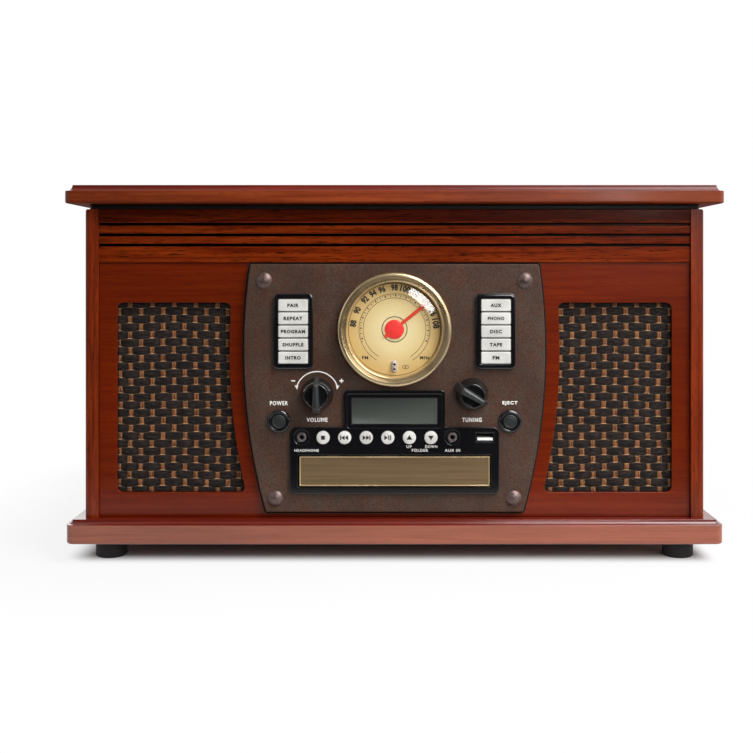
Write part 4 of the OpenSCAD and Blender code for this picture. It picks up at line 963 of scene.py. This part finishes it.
POINTER_DEG = 38.8
HUB_R = 7.4
drum_end = plate_front - span("dial_pointer")[1, 1]
hub_profile = np.concatenate([
    dome(HUB_R - 0.6, 0.5, 8) + (0, -1.1), filleted([(HUB_R - 0.6, -1.1), (HUB_R, -1.3), (HUB_R, -1.6),
                                                    (2, -1.6)], 0.15, 4), [(2, drum_end), (0, drum_end)]])
piece("pointer_hub", turned(hub_profile, centre_of_dial), red_plastic, "dial_pointer",
      ["dial_pointer"])
lean = np.radians(POINTER_DEG)
arm_outline = rounded_box_outline(41, 2.7, 0.5) + (20.5 - 9.6, 0)
pointer_bar = lofted([arm_outline * (1, 0.7), arm_outline, arm_outline, arm_outline * (1, 0.6)],
                     [-1.75, -1.6, -1.25, -1.0], centre_of_dial, turn=lean)
piece("pointer_bar", pointer_bar, pointer_red, "dial_pointer")

PRINT_T = 0.06


def print_ring(inner, outer, start=0.0, end=360.0):
    """A flat band of ink between two radii, from one angle to another, in the dial's own plane."""
    whole = end - start >= 360
    angle = np.radians(np.linspace(start, end, 145))
    around = np.stack([np.cos(angle), np.sin(angle)], axis=1)
    outline = [np.array([r, h]) for r, h in ((inner, 0), (inner, PRINT_T), (outer, PRINT_T), (outer, 0))]
    rows = [np.column_stack([around[:, 0] * r, np.full(len(angle), -h), around[:, 1] * r])
            for r, h in outline]
    points = np.stack(rows + rows[:1])
    shape = (points.reshape(-1, 3), grid_faces(5, len(angle)))
    if not whole:
        count = len(angle)
        shape[1].append([0, count, 2 * count, 3 * count])
        shape[1].append([count - 1, 4 * count - 1, 3 * count - 1, 2 * count - 1])
    return shape


def moved(shape, place):
    """A shape shifted to a place."""
    return np.asarray(shape[0]) + np.asarray(place, float), shape[1]


def bar_mark(r0, r1, angle, width):
    """A short radial bar of ink."""
    outline = rounded_box_outline(r1 - r0, width, min(width, r1 - r0) * 0.2, 3) + ((r0 + r1) / 2, 0)
    return lofted([outline, outline], [0, PRINT_T], (0, 0, 0), turn=np.radians(angle))


def lettering(text, height, place, turn=0.0, width=None, bold=0.035, spacing=1.2):
    """A word cut from the built-in font as a thin solid, upright on a plane that faces the front. Its
    capitals have the given height and it may be given a width. Its middle lies at place."""
    curve = bpy.data.curves.new("word", "FONT")
    curve.body = text
    curve.size = 1.0
    curve.space_character = spacing
    curve.offset = bold
    curve.extrude = 0.5
    curve.resolution_u = 3
    co, faces = mesh_of(curve)
    low, high = co.min(axis=0), co.max(axis=0)
    co = (co - (low + high) / 2) / (high - low)
    wide = (high[0] - low[0]) / (high[1] - low[1]) * height if width is None else width
    angle = np.radians(turn)
    across, up = co[:, 0] * wide, co[:, 1] * height
    x = across * np.cos(angle) - up * np.sin(angle)
    z = across * np.sin(angle) + up * np.cos(angle)
    return np.column_stack([x, (-co[:, 2] - 0.5) * PRINT_T, z]) + np.asarray(place, float), faces


def ink(name, shapes, surface, body):
    """A piece of thin print."""
    return piece(name, joined(*shapes), surface, body, sharp=30)


NUMBER_ANGLES = {88: 172, 90: 153, 92: 135, 94: 121, 96: 107.5, 98: 90, 100: 75, 102: 60, 104: 43, 106: 26,
                 108: 8}
NUMBER_R = 31.9
NUMBER_H = 5.0
SCALE_IN, SCALE_OUT = 24.0, 27.2
SCALE_START, SCALE_END = -60, 240
dial_marks = [print_ring(35.0, 35.45), print_ring(9.3, 9.95)]
dial_marks += [print_ring(r - 0.18, r + 0.18, SCALE_START, SCALE_END) for r in (SCALE_IN, SCALE_OUT)]
for number, angle in NUMBER_ANGLES.items():
    a = np.radians(angle)
    dial_marks.append(lettering(str(number), NUMBER_H, (NUMBER_R * np.cos(a), 0, NUMBER_R * np.sin(a)),
                                angle - 90, 2.6 * len(str(number)), 0.05, 1.05))
tick_angles = np.arange(SCALE_START + 40, SCALE_END - 36, 4.5)
dial_marks += [bar_mark(SCALE_IN + (1.9 if i % 2 else 1.0), SCALE_OUT - 0.5, angle, 0.55 if i % 4 else 0.9)
               for i, angle in enumerate(tick_angles)]
dial_marks += [lettering(word, 2.5, (x, 0, -21.7), width=wide)
               for word, x, wide in (("FM", -22.4, 4.6), ("MHz", 23.2, 7.4))]
dial_marks += [moved(print_ring(1.15, 1.5), (x, 0, -28.9)) for x in (7.4, 9.3)]
ink("dial_print", [moved(mark, (0, dial_face_front, dial_z)) for mark in dial_marks], black_ink, "cabinet")

LAMP_W, LAMP_H = 4.4, 9.6
LAMP_Z = dial_z - 28.4
lamp_rows = [(0, 0), (0, 0.5), (0.35, 0.7), (0.45, 1.9), (0.8, 2.7), (1.5, 3.1)]
piece("stereo_lamp", lofted([rounded_box_outline(LAMP_W - 2 * inset, LAMP_H - 2 * inset, 2.15 - inset, 9)
                             for inset, _ in lamp_rows], [h for _, h in lamp_rows],
                            (0, dial_face_front, LAMP_Z)), lamp_lens, "cabinet")
lead_profile = [(0, 0), (0, 0.1), (0.7, 0.1), (0.95, 0)]
lamp_marks = [turned(lead_profile, (0, dial_face_front - 3.05, LAMP_Z + rise), around=24)
              for rise in (1.9, -1.7)]
piece("stereo_lamp_leads", joined(*lamp_marks), gloss_black, "cabinet")

# Legends and marks on the plate, the fascia and the keys
volume_x = -abs(middle("volume_knob")[0])
tuning_x = -volume_x
ARC_R = 16.2
HEAD_R = ARC_R + 0.1
ARC_Z = 128.6
plate_marks = []
arc_start, arc_end = 20, 160
arc = print_ring(ARC_R - 0.42, ARC_R + 0.42, arc_start, arc_end)
plate_marks.append(moved(arc, (volume_x, plate_front, ARC_Z)))
for angle, way in ((arc_start - 4, -1), (arc_end + 4, 1)):
    a = np.radians(angle)
    head = np.array([(-1.5, 0), (1.5, 0), (0.05, 3.2), (-0.05, 3.2)])
    tip = (volume_x + HEAD_R * np.cos(a), plate_front, ARC_Z + HEAD_R * np.sin(a) + 1.2)
    plate_marks.append(lofted([head, head], [0, PRINT_T], tip, turn=np.pi + 0.12 * way))
minus = rounded_box_outline(3.2, 1.0, 0.2, 3)
plus = rounded_box_outline(1.0, 3.2, 0.2, 3)
for x, marks in ((volume_x - 18.3, [minus]), (volume_x + 18.7, [minus, plus])):
    plate_marks += [lofted([m, m], [0, PRINT_T + 0.01 * k], (x, plate_front, ARC_Z + 9.1))
                    for k, m in enumerate(marks)]
for text, x, z, wide in (("POWER", -button_x, 120.6, 13.9), ("EJECT", button_x, 120.6, 11.6),
                         ("VOLUME", volume_x, 107.9, 16), ("TUNING", tuning_x, 107.9, 15)):
    plate_marks.append(lettering(text, 3.3, (x, plate_front, z), width=wide))
ink("plate_legends", plate_marks, white_ink, "cabinet")

fascia_marks = [lettering(text, 2.1, (x, fascia_front, z), width=wide, bold=0.01) for text, x, z, wide in (
    ("HEADPHONE", row_x[0] + 3.9, 84.9, 18.6), ("UP", row_x[5] - 0.2, 87.8, 4.0),
    ("DOWN", row_x[6] + 0.3, 87.8, 9.2), ("FOLDER", 19.4, 85.0, 12.2), ("AUX IN", row_x[7], 84.9, 11.6))]
ink("fascia_legends", fascia_marks, white_ink, "cabinet")

LEGEND_W = {"PAIR": 8.6, "REPEAT": 14.4, "PROGRAM": 18.4, "SHUFFLE": 16, "INTRO": 11.8, "AUX": 8.4,
            "PHONO": 12.6, "DISC": 9.2, "TAPE": 9.6, "FM": 5.2}
KEY_WORDS = {"left": ["PAIR", "REPEAT", "PROGRAM", "SHUFFLE", "INTRO"],
             "right": ["AUX", "PHONO", "DISC", "TAPE", "FM"]}
for side, words in KEY_WORDS.items():
    for number, word in enumerate(words, 1):
        node = f"key_{side}_{number}"
        x, _, z = middle(node)
        legend = lettering(word, 2.75, (x, span(node)[0, 1], z), width=LEGEND_W[word], bold=0.05)
        ink(f"{node}_legend", [legend], black_ink, node)

small_end = fascia_front - span("stop_button")[1, 1]
small_profile = filleted([(0, 1.25), (3.9, 1.15), (4.75, 0.75), (4.8, 0), (4.8, small_end), (0, small_end)],
                         [1.2, 0.4, 0.2, 0.2], 5)


def triangle(x, way, size=2.5, high=3.6):
    """A mark that points along x."""
    return np.array([(x - way * size / 2, -high / 2), (x + way * size / 2, -0.04),
                     (x + way * size / 2, 0.04), (x - way * size / 2, high / 2)])


def bar(x, w=0.75, h=3.6):
    """An upright bar."""
    return rounded_box_outline(w, h, 0.1, 3) + (x, 0)


SYMBOLS = {"stop_button": [rounded_box_outline(3.0, 3.0, 0.15, 3)],
           "previous_button": [bar(-2.9), triangle(-1.2, -1), triangle(1.4, -1)],
           "next_button": [bar(2.9), triangle(1.2, 1), triangle(-1.4, 1)],
           "play_button": [triangle(-1.3, 1), bar(0.7), bar(2.1)],
           "up_button": [triangle(0.2, 1, 3.4, 4.4)[:, ::-1]],
           "down_button": [triangle(-0.2, -1, 3.4, 4.4)[:, ::-1]]}
for node, outlines in SYMBOLS.items():
    x, _, z = middle(node)
    piece(f"{node}_cap", turned(small_profile, (x, fascia_front, z)), key_white, node,
          [node])
    ink(f"{node}_symbol", [lofted([o, o], [1.1, 1.3], (x, fascia_front, z)) for o in outlines],
        black_ink, node)

# Sockets on the front and the back
jack_profile = filleted([(1.8, -14.5), (1.8, -0.8), (2.2, -0.5), (3.2, -0.5), (3.55, -0.8), (3.55, -2.5),
                         (5, -2.5), (5, -16.5), (0, -16.5)], [0.2, 0.15, 0.15, 0.15, 0.1, 0.1, 0.2], 3)
phono_profile = filleted([(3.6, -3), (3.6, 8.7), (3.8, 9), (4.0, 9), (4.15, 8.8), (4.15, 1.5), (5.2, 1.5),
                          (5.2, -18), (0, -18)], [0.1, 0.08, 0.08, 0.08, 0.3, 0.2, 0.2], 3)
pin_profile = [(0, -2), (0.7, -2), (1.2, -2.6), (1.2, -12), (0, -12)]
piece("jacks_plated", joined(
    *[turned(np.concatenate([[(0, -14.5)], jack_profile]), (x, fascia_front, row_z)) for x in jack_x]),
    jack_steel, "cabinet", ["sockets"])
bore_profile = [(0, -14.3), (1.3, -14.3), (1.3, -1.2), (1.75, -0.9), (1.8, -1.3), (1.8, -14.45), (0, -14.45)]
piece("jack_bores_moulded", joined(*[turned(bore_profile, (x, fascia_front, row_z), around=40)
                                     for x in jack_x]), black_foam_and_painted_shadow, "cabinet")
piece("sockets_plated", joined(
    *[turned(np.concatenate([[(0, -3)], phono_profile]), (x, rear_back, PHONO_Z), "back") for x in PHONO_X],
    *[turned(pin_profile, (INLET_X + side * 4.3, rear_back, INLET_Z), "back") for side in (-1, 1)]),
    nickel, "cabinet", ["sockets"])
for name, x, paint in (("phono_insulator_left", PHONO_X[0], insulator_red),
                       ("phono_insulator_right", PHONO_X[1], insulator_white)):
    profile = filleted([(0, -3.5), (1.6, -3.5), (1.6, 8.2), (3.6, 8.2), (3.6, -3.5)], [0.2, 0.3, 0.1], 4)
    piece(name, turned(profile, (x, rear_back, PHONO_Z), "back"), paint, "cabinet")
inlet_rows = [((22, 12, 0.5), -22), ((22, 12, 0.5), 0), ((30, 18, 2), 0), ((30, 18, 2), 1.2),
              ((29.2, 17.2, 1.6), 1.6), ((18.6, 9.2, 4.5), 1.6), ((18, 8.6, 4.2), 1.2),
              ((18, 8.6, 4.2), -11)]
inlet = lofted([rounded_box_outline(*size) for size, _ in inlet_rows], [h for _, h in inlet_rows],
               (INLET_X, rear_back, INLET_Z), "back")
piece("mains_inlet", inlet, satin_black, "cabinet", ["sockets"])
shell = tube((13.8, 6.7, 0.7), (12.6, 5.5, 0.4), (DATA_X, fascia_front, row_z), -18.5, -0.2, edge=0.15)
shell_end = lofted([rounded_box_outline(13, 6, 0.5)] * 2, [-18.4, -15.5], (DATA_X, fascia_front, row_z))
piece("data_socket_shell", joined(shell, shell_end), shell_tin, "cabinet", ["sockets"])
tongue = rounded_box_outline(11.8, 1.9, 0.3, 3)
piece("data_socket_tongue", lofted([tongue, tongue], [-12, -0.6], (DATA_X, fascia_front, row_z - 1.3)),
      white_ink, "cabinet")

# Feet, record deck and what shows at the back
foot_low, foot_high = span("feet")
foot_r = 12
foot_profile = filleted([(0, 2.2), (3.5, 2.2), (3.5, 0), (foot_r - 1.2, 0), (foot_r, 1.4),
                         (foot_r - 0.4, foot_high[2]), (0, foot_high[2])], [0.3, 0.3, 0.5, 0.8, 0.3], 5)
foot_places = [(x, y) for x in (foot_low[0] + foot_r, foot_high[0] - foot_r)
               for y in (foot_low[1] + foot_r, foot_high[1] - foot_r)]
piece("feet_moulded", joined(*[turned(foot_profile, (x, y, 0), "up") for x, y in foot_places]), foot_black,
      "cabinet", ["feet"])

spindle = middle("platter")
mat_low, mat_high = span("platter_mat")
MAT_R = (mat_high[0] - mat_low[0]) / 2
mat_t = mat_high[2] - mat_low[2]
mat_sunk = mat_t - 0.35
ribs = np.arange(52, MAT_R - 4, 2.2)
rib_rows = np.stack([np.stack([ribs + across, np.full_like(ribs, rise)], 1) for across, rise in
                     ((0, mat_sunk), (0.5, mat_t), (1.2, mat_t), (1.7, mat_sunk))], axis=1).reshape(-1, 2)
mat_profile = np.concatenate([
    [(4, 0), (4, mat_t - 0.5), (4.3, mat_sunk), (36, mat_sunk), (36.8, mat_t), (48, mat_t),
     (48.8, mat_sunk)],
    rib_rows, [(MAT_R - 1.4, mat_sunk), (MAT_R - 0.9, mat_t), (MAT_R - 0.3, mat_t - 0.2),
               (MAT_R, mat_t - 0.7), (MAT_R, 0), (4, 0)]])
piece("slip_mat_ribbed", turned(mat_profile, (spindle[0], spindle[1], mat_low[2]), "up", 160), mat_black,
      "platter", ["platter_mat"])

# Arm: tube, collar and weight in one turned shape, pivot block, headshell and cartridge
arm_pivot = pivots["arm_lift"]
TUBE_R = 4
WEIGHT_R = 10.5
rod_profile = filleted([(0, -169), (TUBE_R, -169), (TUBE_R, -157), (TUBE_R - 0.6, -156),
                        (TUBE_R - 0.6, -16), (TUBE_R + 0.6, -15), (TUBE_R + 0.6, -7.5), (2.9, -7.5),
                        (2.9, 19.8), (WEIGHT_R - 1, 19.8), (WEIGHT_R, 20.8), (WEIGHT_R, 33),
                        (WEIGHT_R - 0.8, 33.5), (WEIGHT_R - 0.8, 34.3), (WEIGHT_R, 34.8),
                        (WEIGHT_R, 40.8), (WEIGHT_R - 1, 41.8), (2.9, 41.8), (2.9, 47.6), (0, 48)], 0.2, 3)
block_rows = [(0.8, -8), (0.2, -7.6), (0, -7), (0, 7), (0.2, 7.6), (0.8, 8)]
pivot_block = lofted([rounded_box_outline(16 - 2 * inset, 12 - 2 * inset, 1.5) for inset, _ in block_rows],
                     [h for _, h in block_rows], arm_pivot, "back")
pin_rows = [(0, -12.6), (1.3, -12.6), (1.5, -12.3), (1.5, 12.3), (1.3, 12.6), (0, 12.6)]
piece("arm_tube_and_weight", joined(turned(rod_profile, arm_pivot, "back"), pivot_block,
                                    turned(pin_rows, arm_pivot, "right", 32)), arm_alloy, "tonearm",
      ["tonearm"])
HEAD_TURN = np.radians(-22)
head_place = arm_pivot + (0, -167, 0)


def head_part(width, y0, y1, low, high, x=0.0, edge=0.4):
    """A block of the headshell with rounded edges, in the shell's own turned frame."""
    rows = [(edge, low), (0, low + edge), (0, high - edge), (edge, high)]
    outlines = [rounded_box_outline(width - 2 * inset, y1 - y0 - 2 * inset, min(width, y1 - y0) * 0.25)
                + (x, (y0 + y1) / 2) for inset, _ in rows]
    return lofted(outlines, [h for _, h in rows], head_place, "up", HEAD_TURN)


stylus = turned([(0, -14), (0.4, -13.6), (1.6, -8), (0, -8)], (0, 0, 0), "up", 24)
stylus_place = head_place + (28 * np.sin(HEAD_TURN), -28 * np.cos(HEAD_TURN), 0)
piece("headshell_moulded", joined(head_part(16, -36, 0, -2, 3, edge=0.8), head_part(14, -32, -10, -9, -2),
                                  head_part(10, -34, -30, 0, 1.6, x=13, edge=0.3),
                                  moved(stylus, stylus_place)), satin_black, "tonearm",
      ["tonearm"])

# Cassette flap and its button in the right side
flap_low, flap_high = span("cassette_door")
axis_z = pivots["cassette_flap"][2]
flap_w, flap_h = flap_high[1] - flap_low[1] - 4, axis_z + 0.8 - flap_low[2]
flap_rows = [(0.3, flap_low[0]), (0, flap_low[0] + 0.3), (0, flap_high[0] - 0.3), (0.3, flap_high[0])]
flap_x, flap_y, _ = middle("cassette_door")
flap = lofted([rounded_box_outline(flap_w - 2 * inset, flap_h - 2 * inset, 0.5) for inset, _ in flap_rows],
              [h for _, h in flap_rows], (0, flap_y, flap_low[2] + flap_h / 2), "right")
flap_pin = turned([(0, flap_low[1]), (0.8, flap_low[1]), (1, flap_low[1] + 0.2), (1, flap_high[1] - 0.2),
                   (0.8, flap_high[1]), (0, flap_high[1])], (flap_x, 0, axis_z), "back", 24)
piece("cassette_flap_moulded", joined(flap, flap_pin), satin_black, "cassette_door",
      ["cassette_door"], flat=True)
push_low, push_high = span("cassette_button")
push_profile = filleted([(0, push_low[0]), (4, push_low[0]), (4, push_high[0]), (0, push_high[0] - 0.5)],
                        [0.3, 0.8], 5)
piece("cassette_button_moulded", turned(push_profile, (0, *middle("cassette_button")[1:]), "right"),
      satin_black, "cassette_button", ["cassette_button"])

# Every other CAD node keeps its shape and takes the finish of the real part
for node, surface in {
        "side_panel_left": wood_side, "side_panel_right": wood_side, "speaker_drivers": satin_black,
        "dial_face": card, "cd_mechanism": zinc, "main_board": board_green, "drive_unit": zinc,
        "drive_belt": mat_black, "motor_pulley": hinge_brass, "cassette_deck": tray_grey}.items():
    mesh = frame["nodes"][node].data
    mesh.materials.clear()
    mesh.materials.append(surface)

# Floor, lamps and surroundings. The paper reads white away from the object and keeps its shadow. Where the
# lacquer and the metal mirror it, it ends in front of the object at a dark studio, as a paper sheet does.
FLOOR = 6.0
SHADE_X, SHADE_Y = 0.23, 0.15
floor_mesh = bpy.data.meshes.new("floor")
floor_mesh.from_pydata([(-FLOOR, -FLOOR, 0), (FLOOR, -FLOOR, 0), (FLOOR, FLOOR, 0), (-FLOOR, FLOOR, 0)], [],
                       [(0, 1, 2, 3)])
floor_paint, tree, shader = started("floor_paper", roughness=0.9, specular_ior_level=0.1)
place = add(tree, "ShaderNodeTexCoord", out="Object")
either_side = add(tree, "ShaderNodeVectorMath", {0: place}, 0, operation="ABSOLUTE")
outside = add(tree, "ShaderNodeVectorMath", {0: either_side, 1: (SHADE_X, SHADE_Y, 1)}, 0,
              operation="SUBTRACT")
beyond = add(tree, "ShaderNodeVectorMath", {0: outside, 1: (0, 0, 0)}, 0, operation="MAXIMUM")
apart = add(tree, "ShaderNodeVectorMath", {0: beyond}, "Value", operation="LENGTH")
near = add(tree, "ShaderNodeMapRange", {0: apart, 1: 0.0, 2: 0.028, 3: 0.0, 4: 0.87}, 0, **SOFT)
far = add(tree, "ShaderNodeMapRange", {0: apart, 1: 0.02, 2: 0.2, 3: 0.0, 4: 0.13}, 0, **SOFT)
clear_of = add(tree, "ShaderNodeMath", {0: near, 1: far}, 0, operation="ADD")
tree.links.new(tinted(tree, apart, 0.12, 0.45, linear("#cfcfcf"), linear("#3a3a3a")),
               shader.inputs["Base Color"])
rays = add(tree, "ShaderNodeLightPath").outputs
mirrored = add(tree, "ShaderNodeMath", {0: rays["Is Glossy Ray"], 1: rays["Is Transmission Ray"]}, 0,
               operation="MAXIMUM")
looked_at = add(tree, "ShaderNodeMath", {0: rays["Is Camera Ray"], 1: mirrored}, 0, operation="MAXIMUM")
white_share = add(tree, "ShaderNodeMath", {0: looked_at, 1: clear_of}, 0, operation="MULTIPLY")
depth = add(tree, "ShaderNodeSeparateXYZ", {0: place}, "Y")
paper_end = add(tree, "ShaderNodeMapRange", {0: depth, 1: -0.36, 2: -0.46}, 0, **SOFT)
dark_share = add(tree, "ShaderNodeMath", {0: rays["Is Glossy Ray"], 1: paper_end}, 0,
                 operation="MULTIPLY")
white = add(tree, "ShaderNodeEmission", {"Color": (1, 1, 1, 1), "Strength": 1.0}, 0)
dark = add(tree, "ShaderNodeEmission", {"Color": (1, 1, 1, 1), "Strength": 0.02}, 0)
lifted = add(tree, "ShaderNodeMixShader", {0: white_share, 1: shader.outputs[0], 2: white}, 0)
final = add(tree, "ShaderNodeMixShader", {0: dark_share, 1: lifted, 2: dark}, 0)
tree.links.new(final, tree.nodes["Material Output"].inputs["Surface"])
floor_mesh.materials.append(floor_paint)
floor = bpy.data.objects.new("floor", floor_mesh)
bpy.context.collection.objects.link(floor)

world = bpy.data.worlds.new("studio")
bpy.context.scene.world = world
world.use_nodes = True
tree = world.node_tree
paths = add(tree, "ShaderNodeLightPath").outputs
coords = add(tree, "ShaderNodeTexCoord", out="Generated")
way = add(tree, "ShaderNodeSeparateXYZ", {0: coords}, "Y")
low_share = add(tree, "ShaderNodeMapRange", {0: way, 1: -0.9, 2: -0.5, 3: 0.0, 4: 0.4}, 0, **SOFT)
high_share = add(tree, "ShaderNodeMapRange", {0: way, 1: -0.3, 2: 0.3, 3: 0.0, 4: 0.6}, 0, **SOFT)
toward_back = add(tree, "ShaderNodeMath", {0: low_share, 1: high_share}, 0, operation="ADD")
reflected = add(tree, "ShaderNodeMix", {0: toward_back, MIX_A: (0.03, 0.03, 0.034, 1),
                                        MIX_B: (1, 1, 1, 1)}, MIX_OUT, **COLOUR)
shown = add(tree, "ShaderNodeMath", {0: paths["Is Glossy Ray"], 1: paths["Is Transmission Ray"]}, 0,
            operation="MAXIMUM")
ambient = add(tree, "ShaderNodeMix", {0: shown, MIX_A: (0.2, 0.2, 0.21, 1), MIX_B: reflected}, MIX_OUT,
              **COLOUR)
seen = add(tree, "ShaderNodeMix", {0: paths["Is Camera Ray"], MIX_A: ambient, MIX_B: (1, 1, 1, 1)},
           MIX_OUT, **COLOUR)
tree.links.new(seen, tree.nodes["Background"].inputs["Color"])

LAMPS = {"window_softbox": ((372, -1230, 512), (390, 205), -43, 2.6),
         "key_softbox": ((900, -900, 1150), (650, 650), 0, 12.5),
         "high_softbox": ((500, -650, 1450), (600, 600), 0, 8),
         "right_softbox": ((1000, -640, 700), (1050, 1050), 0, 4.6),
         "left_softbox": ((-1300, -900, 700), (900, 900), 0, 1.4),
         "top_softbox": ((750, -250, 1450), (1000, 1000), 0, 15.5),
         "rear_softbox": ((-700, 1500, 900), (900, 900), 0, 6)}
aim = Vector((0, -60, 130)) * MM
for name, (place, (wide, high), roll, power) in LAMPS.items():
    lamp = bpy.data.lights.new(name, "AREA")
    lamp.shape = "RECTANGLE"
    lamp.size = wide * MM
    lamp.size_y = high * MM
    lamp.energy = power
    holder = bpy.data.objects.new(name, lamp)
    holder.location = Vector(place) * MM
    facing = (aim - holder.location).to_track_quat("-Z", "Y")
    holder.rotation_euler = (facing @ Quaternion((0, 0, 1), np.radians(roll))).to_euler()
    bpy.context.collection.objects.link(holder)
